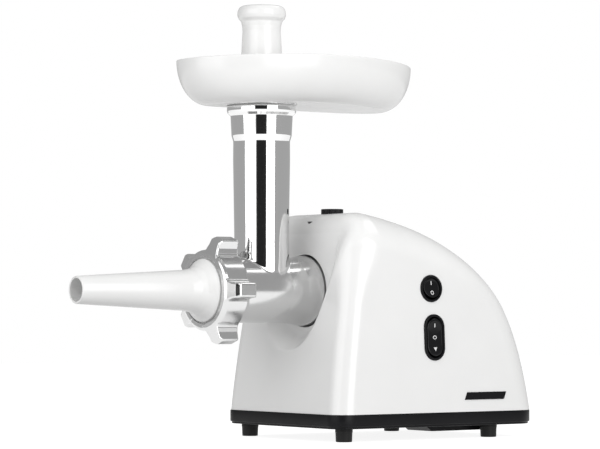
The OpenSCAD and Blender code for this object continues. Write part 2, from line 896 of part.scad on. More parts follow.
// ---- Head lock ----

module lock_button() color(black) {
    translate([0, button_y, button_low_z])
        cylinder(r = button_r, h = 7.6);
    translate([0, button_y, button_low_z + 7.6 - eps])
        cylinder(r1 = button_r, r2 = button_r - 1, h = 1);
    translate([0, button_y, lever_z + 2.5])
        cylinder(r = 3, h = 14);
}

module button_guide() color(white)
    intersection() {
        housing_form(wall + eps, housing_z);
        translate([0, button_y, 0])
            difference() {
                translate([0, 0, guide_floor_z - 1.5])
                    cylinder(r = button_r + 3, h = 14);
                translate([0, 0, guide_floor_z])
                    cylinder(r = button_r + 1, h = 18);
                translate([0, 0, 190])
                    cylinder(r = 3 + running, h = 20);
            }
    }

module lock_spring() color(steel)
    translate([0, button_y, 0])
        coil_spring(6, 0.5, guide_floor_z + 0.1, button_low_z - 0.1, 3.5);

// A round-wire coil with closed ends
module coil_spring(r, wire, z0, z1, turns) {
    steps = 20;
    sides = 6;
    rings = round(turns * steps);
    rise = z1 - z0 - 2 * wire;
    points = [
        for (i = [0:rings], j = [0:sides - 1])
        let (a = 360 * i / steps, b = 360 * j / sides, q = r + wire * cos(b))
        [q * cos(a), q * sin(a), z0 + wire + rise * i / rings + wire * sin(b)]
    ];
    quads = [
        for (i = [0:rings - 1], j = [0:sides - 1])
        let (n = (j + 1) % sides)
        each [
            [i * sides + j, i * sides + n, (i + 1) * sides + n],
            [i * sides + j, (i + 1) * sides + n, (i + 1) * sides + j]
        ]
    ];
    start = [for (j = [sides - 1:-1:0]) j];
    finish = [for (j = [0:sides - 1]) rings * sides + j];
    polyhedron(points, concat(quads, [start, finish]), convexity = 8);
}

module lock_lever() color(nylon)
    difference() {
        union() {
            translate([-6, lever_y, lever_z])
                rotate([0, 90, 0])
                    cylinder(r = 3.2, h = 12);
            block([-4, lever_y, lever_z - 1.2], [4, button_y, lever_z + 1.2]);
            translate([-4, button_y, lever_z])
                rotate([0, 90, 0])
                    cylinder(r = 2, h = 8);
            for (x = [-6, 3])
                translate([x, 0, 0]) {
                    block([0, pin_y, lever_z - 1.2], [3, lever_y, lever_z + 1.2]);
                    translate([0, pin_y, lever_z])
                        rotate([0, 90, 0])
                            cylinder(r = 2, h = 3);
                }
        }
        translate([-10, lever_y, lever_z])
            rotate([0, 90, 0])
                cylinder(r = 1.5 + running, h = 20);
    }

module lock_pivot() color(steel)
    translate([-9.4, lever_y, lever_z])
        rotate([0, 90, 0])
            cylinder(r = 1.5, h = 18.8);

module lock_pin() color(steel)
    translate([0, pin_y, 0]) {
        translate([0, 0, axis_z + pilot_r - 3.6])
            cylinder(r = pin_r, h = 20);
        translate([0, 0, 185])
            cylinder(r = 2.2, h = 10);
        translate([0, 0, lever_z + 2.5])
            cylinder(r = 5.5, h = 2.5);
    }

// ---- Grinding head ----

module head_casting() color(cast)
    difference() {
        union() {
            turned_y([
                [0, barrel_front_y], [31, barrel_front_y], [31, -67], [barrel_r + 0.4, -64.5], [barrel_r, -62],
                [barrel_r, -4], [29, 5], [31.2, 10], [flange_r, 14], [flange_r, 28], [pilot_r, 28],
                [pilot_r, head_rear_y], [0, head_rear_y]
            ]);
            translate([0, -tube_y, 0])
                rotate_extrude()
                    polygon([
                        [0, axis_z], [25, axis_z], [26.4, 163], [25.3, 172], [25.1, 184], [26.2, 257], [26.1, 273],
                        [27.5, 280], [28.6, 298], [28.8, 300], [30.8, 302], [31.8, 305], [31, 307.2], [30, 308],
                        [32, 308.6], [32, lip_z], [0, lip_z]
                    ]);
        }
        along_y(plate_r + 0.3, barrel_front_y - 1, pocket_y);
        along_y(bore_r, pocket_y - 1, 13);
        along_y(journal_r + running, 10, 50);
        translate([0, -tube_y, axis_z])
            cylinder(r = tube_bore_r, h = 200);
        translate([0, 0, axis_z + plate_r])
            block([-2.2, barrel_front_y - 1, -2], [2.2, pocket_y, 2]);
        lock_slot();
    }

// The arc slot for the lock pin, open to the rear of the flange
module lock_slot()
    intersection() {
        translate([0, 0, axis_z])
            rotate([-90, 0, 0])
                rotate_extrude()
                    polygon([[28.6, pin_y - 4], [40, pin_y - 4], [40, 50], [28.6, 50]]);
        translate([0, 60, axis_z])
            rotate([90, 0, 0])
                linear_extrude(height = 60)
                    polygon([
                        [0, 0], 60 * [cos(90 + 9), sin(90 + 9)], 60 * [cos(90 - 10), sin(90 - 10)],
                        60 * [cos(90 - twist), sin(90 - twist)], 60 * [cos(81 - twist), sin(81 - twist)]
                    ]);
    }

module auger() color(bright) {
    along_y(9.5, -70.5, auger_back_y, fn = 48);
    along_y(20.5, 5, auger_back_y, fn = 48);
    along_y(journal_r, 8, head_rear_y - 2, fn = 48);
    block([-shank_half, 36, axis_z - shank_half], [shank_half, 60, axis_z + shank_half]);
    block([-4.5, -79.2, axis_z - 4.5], [4.5, -70, axis_z + 4.5]);
    along_y(4, -85, -79, fn = 48);
    auger_flight();
}

// The helical flight: a ribbon with a sloped root, swept around the core
module auger_flight() {
    steps = 24;
    start_y = -68.5;
    end_y = 4;
    rings = round((end_y - start_y) / flight_pitch * steps);
    section = [[9, -3.2], [flight_r, -1.5], [flight_r, 1.5], [9, 3.2]];
    count = len(section);
    points = [
        for (i = [0:rings], p = section)
        let (a = 360 * i / steps, y = start_y + flight_pitch * i / steps)
        [p[0] * cos(a), y + p[1], axis_z + p[0] * sin(a)]
    ];
    quads = [
        for (i = [0:rings - 1], j = [0:count - 1])
        let (n = (j + 1) % count)
        each [
            [i * count + j, (i + 1) * count + n, i * count + n],
            [i * count + j, (i + 1) * count + j, (i + 1) * count + n]
        ]
    ];
    start = [for (j = [0:count - 1]) j];
    finish = [for (j = [count - 1:-1:0]) rings * count + j];
    polyhedron(points, concat(quads, [start, finish]), convexity = 10);
}

module thrust_washer() color(nylon)
    tube_y(20, journal_r + 0.3, auger_back_y + 0.4, 12.6);

module cross_blade() color(bright)
    difference() {
        union() {
            along_y(9, -79.3, -72, fn = 48);
            for (a = [0:90:270])
                translate([0, 0, axis_z])
                    rotate([0, a, 0])
                        blade_arm();
        }
        block([-4.8, -90, axis_z - 4.8], [4.8, -60, axis_z + 4.8]);
    }

// One arm of the blade: a tapered wing with its cutting face at the front
module blade_arm()
    rotate([90, 0, 0])
        translate([0, 0, 74.5])
            linear_extrude(height = 4.8)
                polygon([[5, -4.5], [23.4, -2.5], [23.4, 3.4], [5, 4.5]]);

module cutting_plate() color(bright)
    difference() {
        along_y(plate_r, -85.8, pocket_y - 0.1);
        along_y(4 + 0.08, -90, -70);
        for (k = [1:plate_holes])
            along_y(2.4, -90, -70, [0, axis_z] + 21.5 * [cos(360 * k / plate_holes), sin(360 * k / plate_holes)]);
        for (k = [1:8])
            along_y(2.4, -90, -70, [0, axis_z] + 13.5 * [cos(45 * k), sin(45 * k)]);
        translate([0, 0, axis_z + plate_r])
            block([-1.6, -90, -1.8], [1.6, -70, 4]);
    }

module plate_key() color(steel)
    translate([0, 0, axis_z + plate_r])
        block([-1.5, -85.6, -1.5], [1.5, pocket_y, 1.9]);

module sausage_nozzle() color(white)
    turned_y([
        [nozzle_hole_r, -nozzle_tip_y], [12, -nozzle_tip_y], [12.4, -nozzle_tip_y + 1], [18.4, -116],
        [19.6, -108], [22.2, -102], [26, -97.5], [28.6, -95], [28.6, -90], [31, -90], [31, -86.4],
        [25.8, -86.4], [25.8, -93], [23.8, -96.6], [20.2, -101], [17.7, -107.4], [16.4, -116],
        [nozzle_hole_r, -nozzle_tip_y + 14]
    ]);

module ring_nut() color(cast)
    difference() {
        union() {
            turned_y([
                [0, ring_back_y], [0, ring_front_y], [34.5, ring_front_y], [36.6, -92.5], [ring_r, -90],
                [ring_r, ring_back_y]
            ]);
            for (k = [0:lug_count - 1])
                translate([0, 0, axis_z])
                    rotate([0, -360 * k / lug_count, 0])
                        ring_lug();
        }
        along_y(31.3, ring_front_y + 3.8, ring_back_y + 1);
        along_y(30.4, ring_front_y - 1, ring_back_y);
    }

// One grip lug, pointing along +X, with a sloped front
module ring_lug()
    intersection() {
        rotate([90, 0, 0])
            translate([0, 0, -ring_back_y])
                linear_extrude(height = 24)
                    polygon([
                        [34, -9.5], [38, -8.6], [42, -7.2], [48.4, -6.6], [50, -5], [50, 5], [48.4, 6.6],
                        [42, 7.2], [38, 8.6], [34, 9.5]
                    ]);
        translate([0, 0, -12])
            linear_extrude(height = 24)
                polygon([
                    [30, ring_back_y], [48.8, ring_back_y], [50, ring_back_y - 1.2], [50, -86], [47, -90.5],
                    [38, -92.6], [30, -93]
                ]);
    }

// ---- Tray and pusher ----

// A closed solid stack of ovals between the tray's bottom and its rim, bent down toward both ends
module bowl_form(inset, low_z, high_z) {
    around = 48;
    levels = 8;
    depth = tray_rim_z - tray_floor_z;
    side_rows = [
        for (k = [0:levels])
        let (z = low_z + (high_z - low_z) * (1 - cos(90 * k / levels)))
        let (s = min(1, max(0, (tray_rim_z - z) / depth)))
        [z, inset + tray_inset * (1 - sqrt(1 - 0.98 * s * s))]
    ];
    rows = concat([[low_z, 62], [low_z, 45]], side_rows);
    last = len(rows) - 1;
    points = concat(
        [for (row = rows, i = [0:around - 1]) bowl_point(row, 360 * i / around)],
        [[0, tray_y, low_z], [0, tray_y, high_z]]
    );
    quads = [
        for (i = [0:last - 1], j = [0:around - 1])
        let (n = (j + 1) % around)
        each [
            [i * around + j, (i + 1) * around + j, (i + 1) * around + n],
            [i * around + j, (i + 1) * around + n, i * around + n]
        ]
    ];
    low_apex = len(points) - 2;
    bottom = [for (j = [0:around - 1]) [j, (j + 1) % around, low_apex]];
    top = [for (j = [0:around - 1]) [last * around + (j + 1) % around, last * around + j, low_apex + 1]];
    polyhedron(points, concat(quads, bottom, top), convexity = 4);
}
function bowl_point(row, a) =
    let (along = (tray_half_l - row[1]) * sin(a))
    [(tray_half_w - row[1]) * cos(a), tray_y + along, row[0] - tray_arch * pow(along / tray_half_l, 2)];

module tray_bowl()
    difference() {
        union() {
            difference() {
                bowl_form(0, tray_floor_z, tray_rim_z);
                bowl_form(tray_wall, tray_floor_z + tray_wall, tray_rim_z + 0.5);
            }
            translate([0, -tube_y, tray_floor_z + 0.5])
                cylinder(r = tray_boss_r, h = tray_boss_z - tray_floor_z - 0.5);
        }
        translate([0, -tube_y, 280])
            cylinder(r = spigot_bore_r, h = 60);
        translate([0, -tube_y, 280])
            cylinder(r = 32.6, h = lip_z + 0.3 - 280);
    }

module feed_tray() color(white) {
    tray_bowl();
    tray_spigot();
}

// The spigot that plugs the tray into the feed tube
module tray_spigot()
    translate([0, -tube_y, 286])
        difference() {
            cylinder(r = spigot_r, h = tray_boss_z - 286.5);
            translate([0, 0, -1])
                cylinder(r = spigot_bore_r, h = 60);
        }

module pusher() color(white)
    translate([0, -tube_y, 0])
        rotate_extrude()
            polygon([
                [0, 172], [pusher_r - 1.5, 172], [pusher_r, 173.5], [pusher_r, 312.4], [27, 312.4], [27, 314.6],
                [pusher_r, 315], [19.8, 338], [18.7, 356], [17.6, 376], [17.9, 380], [18.9, 384.6], [21.4, 387.4],
                [22.5, 390.6], [22.2, 394.4], [20.6, 397.6], [18, pusher_top_z - 0.4], [15, pusher_top_z],
                [0, pusher_top_z]
            ]);

// ---- Nodes ----

housing_shell();
base_tray();
rubber_foot(-foot_x, foot_front_y);  // foot_front_left
rubber_foot(foot_x, foot_front_y);  // foot_front_right
rubber_foot(-foot_x, foot_rear_y);  // foot_rear_left
rubber_foot(foot_x, foot_rear_y);  // foot_rear_right
vent_cover();
base_screws();
cord_gland();
badge();
power_bezel();
power_switch_body();
power_rocker();
direction_bezel();
direction_switch_body();
direction_rocker();
gearbox_case();
gearbox_cover();
gearbox_screws();
gear_pins();
output_bushes();
output_gear();
middle_gear();
first_gear();
motor_pinion();
motor_stator();
motor_coils();
motor_front_bracket();
motor_rear_bracket();
motor_bearings();
rotor_core();
rotor_windings();
commutator();
rotor_shaft();
cooling_fan();
brush_holders();
carbon_brushes();
motor_screws();
motor_pads();
control_board();
lock_button();
button_guide();
lock_spring();
lock_lever();
lock_pivot();
lock_pin();
head_casting();
auger();
thrust_washer();
cross_blade();
cutting_plate();
plate_key();
sausage_nozzle();
ring_nut();
feed_tray();  // tray
pusher();
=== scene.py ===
"""Looks of the electric meat grinder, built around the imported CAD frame.

Sizes are in millimetres until a mesh is made.
"""

import json
import math

import bmesh
import bpy
import numpy as np
from mathutils import Matrix, Vector


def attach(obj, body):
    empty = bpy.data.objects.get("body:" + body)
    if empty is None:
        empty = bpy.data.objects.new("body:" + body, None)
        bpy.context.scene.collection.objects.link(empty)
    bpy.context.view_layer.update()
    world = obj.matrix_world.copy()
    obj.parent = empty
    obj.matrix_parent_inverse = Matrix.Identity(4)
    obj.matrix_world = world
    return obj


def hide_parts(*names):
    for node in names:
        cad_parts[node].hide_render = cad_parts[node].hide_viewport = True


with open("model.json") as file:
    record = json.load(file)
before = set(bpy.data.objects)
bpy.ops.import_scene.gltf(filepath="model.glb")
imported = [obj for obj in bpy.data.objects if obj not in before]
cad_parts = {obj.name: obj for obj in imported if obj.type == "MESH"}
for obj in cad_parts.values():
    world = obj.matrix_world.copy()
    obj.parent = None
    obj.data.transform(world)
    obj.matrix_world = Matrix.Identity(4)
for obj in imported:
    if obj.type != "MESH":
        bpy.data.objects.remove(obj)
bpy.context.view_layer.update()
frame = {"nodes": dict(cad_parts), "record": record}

MM = 0.001

# ---- Driving dimensions, as in the CAD ----
AXIS_Z = 137.0  # height of the barrel's axis
TUBE_Y = -29.0  # place of the feed tube's axis along the barrel
HOUSING_Z = 25.0  # lower edge of the white housing
WALL = 2.6  # wall of the housing
SCOOP_BACK_Y = 20.0  # back wall of the recess in the front
SCOOP_MOUTH_Y = 6.0
SCOOP_MOUTH_HALF_W, SCOOP_BACK_HALF_W = 52.0, 40.0
OPENING_R = 34.0  # round opening for the grinding head
BODY_HALF_W = 92.0
BODY_FRONT_Y, BODY_REAR_Y = -9.0, 229.6
CORNER_FRONT_R, CORNER_REAR_R = 18.0, 26.0  # upright edges of the housing and corners of the base
CROWN_R = 20.0  # how much the edges swell toward the top
SIDE_LEAN = 8.0 / 165.0
FRONT_CURVE = ((-8, 25), (-3.5, 80), (9.5, 140), (10.5, 176))
BROW_CURVE = ((10.5, 176), (11, 198), (24, 209), (48, 209))
REAR_CURVE = ((48, 209), (171.7, 192.6), (213.9, 133), (229.6, 25))
BUTTON_Y = 52.0
BUTTON_R = 10.4
BUTTON_TOP_Z = 213.59
PIN_Y = 31.0  # place of the lock pin, which rises under the housing's brow
POWER_AT = (101.0, 139.0)  # round switch, along Y and above the floor
DIRECTION_AT = (103.0, 94.0)  # oblong switch


# ---- Meshes ----


def polish(mesh, angle):
    """Smooth shading with hard edges where two faces meet at more than an angle."""
    mesh.shade_smooth()
    mesh.set_sharp_from_angle(angle=math.radians(angle))


def new_object(name, points, faces, matrix=None, angle=32):
    """A mesh object from points in millimetres, with its faces turned outward."""
    mesh = bpy.data.meshes.new(name)
    mesh.from_pydata(np.asarray(points, float).tolist(), [], [list(f) for f in faces])
    shape = bmesh.new()
    shape.from_mesh(mesh)
    bmesh.ops.recalc_face_normals(shape, faces=shape.faces)
    shape.to_mesh(mesh)
    shape.free()
    mesh.transform((Matrix.Scale(MM, 4)) @ (matrix or Matrix.Identity(4)))
    polish(mesh, angle)
    obj = bpy.data.objects.new(name, mesh)
    bpy.context.scene.collection.objects.link(obj)
    return obj


def show(obj, body, material, slot, *replaced):
    """Gives a finished piece its material and its body, and hides the CAD nodes that it stands for; the slot
    argument is not used.
    """
    obj.data.materials.clear()
    obj.data.materials.append(material)
    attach(obj, body)
    if replaced:
        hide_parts(*replaced)
    return obj


def combine(obj, others, operation, angle=32, solver="MANIFOLD"):
    """Cuts the other objects from obj, or joins them to it, and removes them."""
    for other in others:
        change = obj.modifiers.new("combine", "BOOLEAN")
        change.operation = operation
        change.solver = solver
        change.object = other
    bpy.context.view_layer.update()
    graph = bpy.context.evaluated_depsgraph_get()
    mesh = bpy.data.meshes.new_from_object(obj.evaluated_get(graph))
    obj.modifiers.clear()
    old = obj.data
    obj.data = mesh
    bpy.data.meshes.remove(old)
    for other in others:
        bpy.data.objects.remove(other)
    polish(mesh, angle)
    return obj


def rounded(outline, steps=5):
    """A 2-D outline whose corners (u, v, radius) are rounded; a corner without a radius stays sharp."""
    result = []
    count = len(outline)
    for i, corner in enumerate(outline):
        p = np.array(corner[:2], float)
        if len(corner) < 3:
            result.append(p)
            continue
        before = np.array(outline[i - 1][:2], float) - p
        after = np.array(outline[(i + 1) % count][:2], float) - p
        cos_between = before @ after / (np.linalg.norm(before) * np.linalg.norm(after))
        half = 0.5 * math.acos(max(-1.0, min(1.0, cos_between)))
        reach = corner[2] / max(math.tan(half), 1e-3)
        reach = min(reach, 0.48 * np.linalg.norm(before), 0.48 * np.linalg.norm(after))
        a = p + before / np.linalg.norm(before) * reach
        b = p + after / np.linalg.norm(after) * reach
        for k in range(steps + 1):
            t = k / steps
            result.append((1 - t) ** 2 * a + 2 * t * (1 - t) * p + t * t * b)
    return result


def turned(outline, axis="z", at=(0, 0), segments=160, ripple=None):
    """A solid of revolution: the outline is a closed loop of (radius, station) points."""
    rows = []
    points = []
    for r, s in outline:
        around = 1 if r < 1e-6 else segments
        row = []
        for k in range(around):
            a = 2 * math.pi * k / segments
            radius = ripple(r, s, a) if ripple else r
            u, v = radius * math.cos(a), radius * math.sin(a)
            row.append(len(points))
            points.append((at[0] + u, at[1] + v, s) if axis == "z" else (at[0] + u, s, at[1] + v))
        rows.append(row)
    faces = []
    for i, a in enumerate(rows):
        b = rows[(i + 1) % len(rows)]
        for k in range(segments):
            n = (k + 1) % segments
            corners = (a[k % len(a)], a[n % len(a)], b[n % len(b)], b[k % len(b)])
            face = list(dict.fromkeys(corners))
            if len(face) > 2:
                faces.append(face)
    return points, faces


def stacked(rings, closed=False):
    """A loft through rings of equal length; the two ends are capped, or joined to each other."""
    count = len(rings[0])
    points = [p for ring in rings for p in ring]
    faces = []
    for i in range(len(rings) if closed else len(rings) - 1):
        a, b = i * count, ((i + 1) % len(rings)) * count
        for k in range(count):
            n = (k + 1) % count
            faces.append((a + k, a + n, b + n, b + k))
    if not closed:
        faces.append(tuple(range(count)))
        faces.append(tuple(range((len(rings) - 1) * count, len(rings) * count)))
    return points, faces


def box_shape(low, high):
    """A cutter block between two corners."""
    corners = [(x, y, z) for x in (low[0], high[0]) for y in (low[1], high[1]) for z in (low[2], high[2])]
    return corners, [(0, 1, 3, 2), (4, 6, 7, 5), (0, 4, 5, 1), (2, 3, 7, 6), (0, 2, 6, 4), (1, 5, 7, 3)]


def cutter(shape, matrix=None):
    return new_object("cutter", *shape, matrix=matrix)


def bore(r, y0, y1, axis="y", at=(0, AXIS_Z), segments=160):
    """A cutter cylinder along an axis."""
    return cutter(turned([(0, y0), (r, y0), (r, y1), (0, y1)], axis, at, segments))


# ---- Distance fields: a surface is where the field is zero, and its inside is negative ----


def smooth_min(a, b, k):
    h = np.clip(0.5 + 0.5 * (b - a) / k, 0, 1)
    return b * (1 - h) + a * h - k * h * (1 - h)


def smooth_max(a, b, k):
    return -smooth_min(-a, -b, k)


class Outline:
    """The signed distance to a closed 2-D outline, sampled once on a fine grid."""

    def __init__(self, points, step, margin=8):
        points = np.asarray(points, float)
        self.low, self.step = points.min(0) - margin, step
        size = np.ceil((points.max(0) + margin - self.low) / step).astype(int) + 1
        u = (self.low[0] + step * np.arange(size[0]))[:, None]
        v = (self.low[1] + step * np.arange(size[1]))[None, :]
        nearest = np.full((size[0], size[1]), np.inf)
        inside = np.zeros(nearest.shape, bool)
        for a, b in zip(points, np.roll(points, -1, 0)):
            d = b - a
            if d @ d < 1e-12:
                continue
            t = np.clip(((u - a[0]) * d[0] + (v - a[1]) * d[1]) / (d @ d), 0, 1)
            nearest = np.minimum(nearest, (u - a[0] - t * d[0]) ** 2 + (v - a[1] - t * d[1]) ** 2)
            if a[1] != b[1]:
                inside ^= ((a[1] > v) != (b[1] > v)) & (u < a[0] + (v - a[1]) * d[0] / d[1])
        self.value = np.where(inside, -1, 1) * np.sqrt(nearest)

    def __call__(self, u, v):
        size = self.value.shape
        fu = np.clip((u - self.low[0]) / self.step, 0, size[0] - 1.001)
        fv = np.clip((v - self.low[1]) / self.step, 0, size[1] - 1.001)
        fu, fv = np.broadcast_arrays(fu, fv)
        i, j = fu.astype(int), fv.astype(int)
        du, dv = fu - i, fv - j
        g = self.value
        low = g[i, j] * (1 - dv) + g[i, j + 1] * dv
        high = g[i + 1, j] * (1 - dv) + g[i + 1, j + 1] * dv
        return low * (1 - du) + high * du


def surface_net(field, low, high, cell, rounds=3):
    """Meshes a field's zero surface with quads, then moves each vertex onto the surface."""
    axes = [np.arange(a - 1.5 * cell, b + 2.5 * cell, cell) for a, b in zip(low, high)]
    shape = tuple(len(a) for a in axes)
    grid = (axes[0][:, None, None], axes[1][None, :, None], axes[2][None, None, :])
    value = np.broadcast_to(field(*grid), shape)
    inside = value < 0
    corners = [(i, j, k) for i in (0, 1) for j in (0, 1) for k in (0, 1)]
    nx, ny, nz = (n - 1 for n in shape)
    filled = sum(inside[i : nx + i, j : ny + j, k : nz + k].astype(np.int8) for i, j, k in corners)
    active = (filled > 0) & (filled < 8)
    index = np.full(active.shape, -1)
    index[active] = np.arange(active.sum())
    cells = np.argwhere(active)
    total, count = np.zeros((len(cells), 3)), np.zeros(len(cells))
    steps = np.eye(3, dtype=int)
    for corner in np.array(corners):
        for a in range(3):
            if corner[a]:
                continue
            v0 = value[tuple((cells + corner).T)]
            v1 = value[tuple((cells + corner + steps[a]).T)]
            crossed = (v0 < 0) != (v1 < 0)
            t = np.where(crossed, v0 / np.where(crossed, v0 - v1, 1), 0)
            total += np.where(crossed[:, None], corner + t[:, None] * steps[a], 0)
            count += crossed
    origin = np.array([a[0] for a in axes])
    points = origin + cell * (cells + total / count[:, None])
    quads = []
    for a in range(3):
        b, c = (a + 1) % 3, (a + 2) % 3
        first = np.take(inside, range(shape[a] - 1), axis=a)
        second = np.take(inside, range(1, shape[a]), axis=a)
        edges = np.argwhere(first != second)
        eb, ec = edges[:, b], edges[:, c]
        edges = edges[(eb > 0) & (ec > 0) & (eb < shape[b] - 1) & (ec < shape[c] - 1)]
        around = [edges, edges - steps[b], edges - steps[b] - steps[c], edges - steps[c]]
        quad = np.stack([index[tuple(p.T)] for p in around], 1)
        outward = first[tuple(edges.T)]
        quads.append(np.where(outward[:, None], quad, quad[:, ::-1]))
    quads = np.concatenate(quads)
    pairs = np.concatenate([quads[:, [k, (k + 1) % 4]] for k in range(4)])
    for step in range(rounds):
        if step:
            start, end = pairs.T
            centre = np.stack([np.bincount(start, points[end, k], len(points)) for k in range(3)], 1)
            centre /= np.maximum(np.bincount(start, minlength=len(points)), 1)[:, None]
            points = 0.5 * points + 0.5 * centre
        points = onto_surface(field, points, 3, 0.5 * cell)
    return points, quads


def onto_surface(field, points, steps, longest):
    """Moves points along the field's slope until they lie on its zero surface."""
    h = 0.05
    for _ in range(steps):
        steps_apart = [(points + e, points - e) for e in h * np.eye(3)]
        slope = np.stack([(field(*a.T) - field(*b.T)) / (2 * h) for a, b in steps_apart], 1)
        move = np.clip(field(*points.T), -longest, longest) / np.maximum((slope**2).sum(1), 0.05)
        points = points - move[:, None] * slope
    return points


# ---- Materials ----


def noise(nodes, links, place, scale, detail, stretch=(1, 1, 1)):
    """A noise texture in the part's own space; stretch draws it out along an axis."""
    mapping = nodes.new("ShaderNodeMapping")
    mapping.inputs["Scale"].default_value = stretch
    texture = nodes.new("ShaderNodeTexNoise")
    texture.inputs["Scale"].default_value = scale
    texture.inputs["Detail"].default_value = detail
    links.new(place.outputs["Object"], mapping.inputs["Vector"])
    links.new(mapping.outputs["Vector"], texture.inputs["Vector"])
    return texture.outputs["Fac"]


def surface(name, colour, roughness, metallic=0.0, spread=0.04, rough_spread=0.05, grain=900.0, bump=0.02,
            stretch=(1, 1, 1), specular=0.5):
    """A procedural material: colour and gloss vary slowly, and fine grain sits in the normal."""
    made = bpy.data.materials.new(name)
    made.use_nodes = True
    nodes, links = made.node_tree.nodes, made.node_tree.links
    shader = nodes["Principled BSDF"]
    shader.inputs["Metallic"].default_value = metallic
    shader.inputs["Specular IOR Level"].default_value = specular
    place = nodes.new("ShaderNodeTexCoord")
    cloud = noise(nodes, links, place, 22.0, 4.0, stretch)
    ramp = nodes.new("ShaderNodeValToRGB")
    ramp.color_ramp.elements[0].position = 0.3
    ramp.color_ramp.elements[1].position = 0.7
    ramp.color_ramp.elements[0].color = (*[c * (1 - spread) for c in colour], 1)
    ramp.color_ramp.elements[1].color = (*[min(1, c * (1 + spread)) for c in colour], 1)
    links.new(cloud, ramp.inputs["Fac"])
    links.new(ramp.outputs["Color"], shader.inputs["Base Color"])
    smear = noise(nodes, links, place, 60.0, 6.0, stretch)
    gloss = nodes.new("ShaderNodeMapRange")
    gloss.inputs["From Min"].default_value = 0.3
    gloss.inputs["From Max"].default_value = 0.7
    gloss.inputs["To Min"].default_value = max(0.02, roughness - rough_spread)
    gloss.inputs["To Max"].default_value = roughness + rough_spread
    links.new(smear, gloss.inputs["Value"])
    links.new(gloss.outputs["Result"], shader.inputs["Roughness"])
    fine = noise(nodes, links, place, grain, 3.0, stretch)
    relief = nodes.new("ShaderNodeBump")
    relief.inputs["Strength"].default_value = bump
    relief.inputs["Distance"].default_value = 0.0004
    links.new(fine, relief.inputs["Height"])
    links.new(relief.outputs["Normal"], shader.inputs["Normal"])
    return made


WHITE = surface(
    "white_gloss_plastic", (0.86, 0.86, 0.855), 0.22, spread=0.012, rough_spread=0.03, grain=320,
    bump=0.03
)
INNER_WHITE = surface(
    "inner_white_plastic", (0.78, 0.78, 0.77), 0.5, spread=0.02, grain=700, bump=0.05
)
BLACK = surface(
    "black_moulded_plastic", (0.006, 0.006, 0.007), 0.36, spread=0.2, grain=1600, bump=0.12,
    specular=0.12
)
BLACK_GLOSS = surface(
    "black_gloss_plastic", (0.005, 0.005, 0.006), 0.16, spread=0.15, rough_spread=0.03, grain=500,
    bump=0.02, specular=0.2
)
RUBBER = surface(
    "foot_rubber", (0.008, 0.008, 0.008), 0.5, spread=0.2, grain=1200, bump=0.2, specular=0.2
)
CAST = surface(
    "satin_cast_aluminium", (0.66, 0.66, 0.66), 0.16, 1.0, spread=0.015, rough_spread=0.015,
    grain=2200, bump=0.02
)
POLISHED = surface(
    "polished_aluminium", (0.8, 0.8, 0.8), 0.055, 1.0, spread=0.015, rough_spread=0.02,
    grain=1800, bump=0.008, stretch=(1, 1, 0.08)
)
GEAR_CASE = surface(
    "die_cast_gear_case", (0.5, 0.5, 0.51), 0.42, 1.0, spread=0.08, grain=1400, bump=0.15
)
BRIGHT_STEEL = surface(
    "ground_steel", (0.68, 0.68, 0.69), 0.2, 1.0, spread=0.05, grain=2500, bump=0.05,
    stretch=(1, 0.1, 1)
)
DULL_STEEL = surface("dull_steel", (0.42, 0.42, 0.43), 0.42, 1.0, spread=0.1, grain=1200, bump=0.1)
BRONZE = surface("sintered_bronze", (0.6, 0.4, 0.17), 0.4, 1.0, spread=0.1, grain=3000, bump=0.2)
COPPER = surface(
    "enamelled_copper", (0.62, 0.26, 0.12), 0.3, 1.0, spread=0.12, grain=1500, bump=0.2,
    stretch=(0.2, 1, 1)
)
NYLON = surface("moulded_nylon", (0.78, 0.76, 0.68), 0.42, spread=0.03, grain=600, bump=0.05)
CARBON = surface("carbon_brush", (0.02, 0.02, 0.02), 0.6, spread=0.2, grain=3000, bump=0.2)
BOARD = surface("lacquered_board", (0.03, 0.14, 0.07), 0.3, spread=0.1, grain=900, bump=0.1)
MARK = surface("printed_mark", (0.72, 0.72, 0.72), 0.5, spread=0.03, grain=900, bump=0.05)

SLOT_LOOKS = {
    "white_gloss": WHITE,
    "inner_white": INNER_WHITE,
    "black_plastic": BLACK,
    "black_gloss": BLACK_GLOSS,
    "foot_rubber": RUBBER,
    "cast_aluminium": CAST,
    "gear_case": GEAR_CASE,
    "bright_steel": BRIGHT_STEEL,
    "dull_steel": DULL_STEEL,
    "bronze": BRONZE,
    "copper": COPPER,
    "nylon": NYLON,
    "carbon": CARBON,
    "board": BOARD,
}

for subpart in frame["record"]["subparts"]:
    carried = frame["nodes"][subpart["node"]]
    carried.data.materials.clear()
    carried.data.materials.append(SLOT_LOOKS[subpart["material_slot"]])


# ---- Housing ----


def on_curve(curve, t):
    a, b, c, d = (np.array(p, float) for p in curve)
    return (1 - t) ** 3 * a + 3 * (1 - t) ** 2 * t * b + 3 * (1 - t) * t * t * c + t**3 * d


def half_width(z):
    return BODY_HALF_W - SIDE_LEAN * (z - HOUSING_Z)


def edge_radius(y, z):
    """The long edges are tight low down and swell into a soft crown at the top."""
    crown = np.clip((z - 120) / 85, 0, 1)
    side = CORNER_FRONT_R + (CORNER_REAR_R - CORNER_FRONT_R) * np.clip((y - 20) / 60, 0, 1)
    return side + CROWN_R * crown * crown * (3 - 2 * crown)


profile_points = [on_curve(FRONT_CURVE, i / 60) for i in range(60)]
profile_points += [on_curve(BROW_CURVE, i / 60) for i in range(60)]
profile_points += [on_curve(REAR_CURVE, i / 120) for i in range(121)]
profile_points += [np.array((229.6, -20.0)), np.array((-8.0, -20.0))]
side_profile = Outline(profile_points, 0.5)


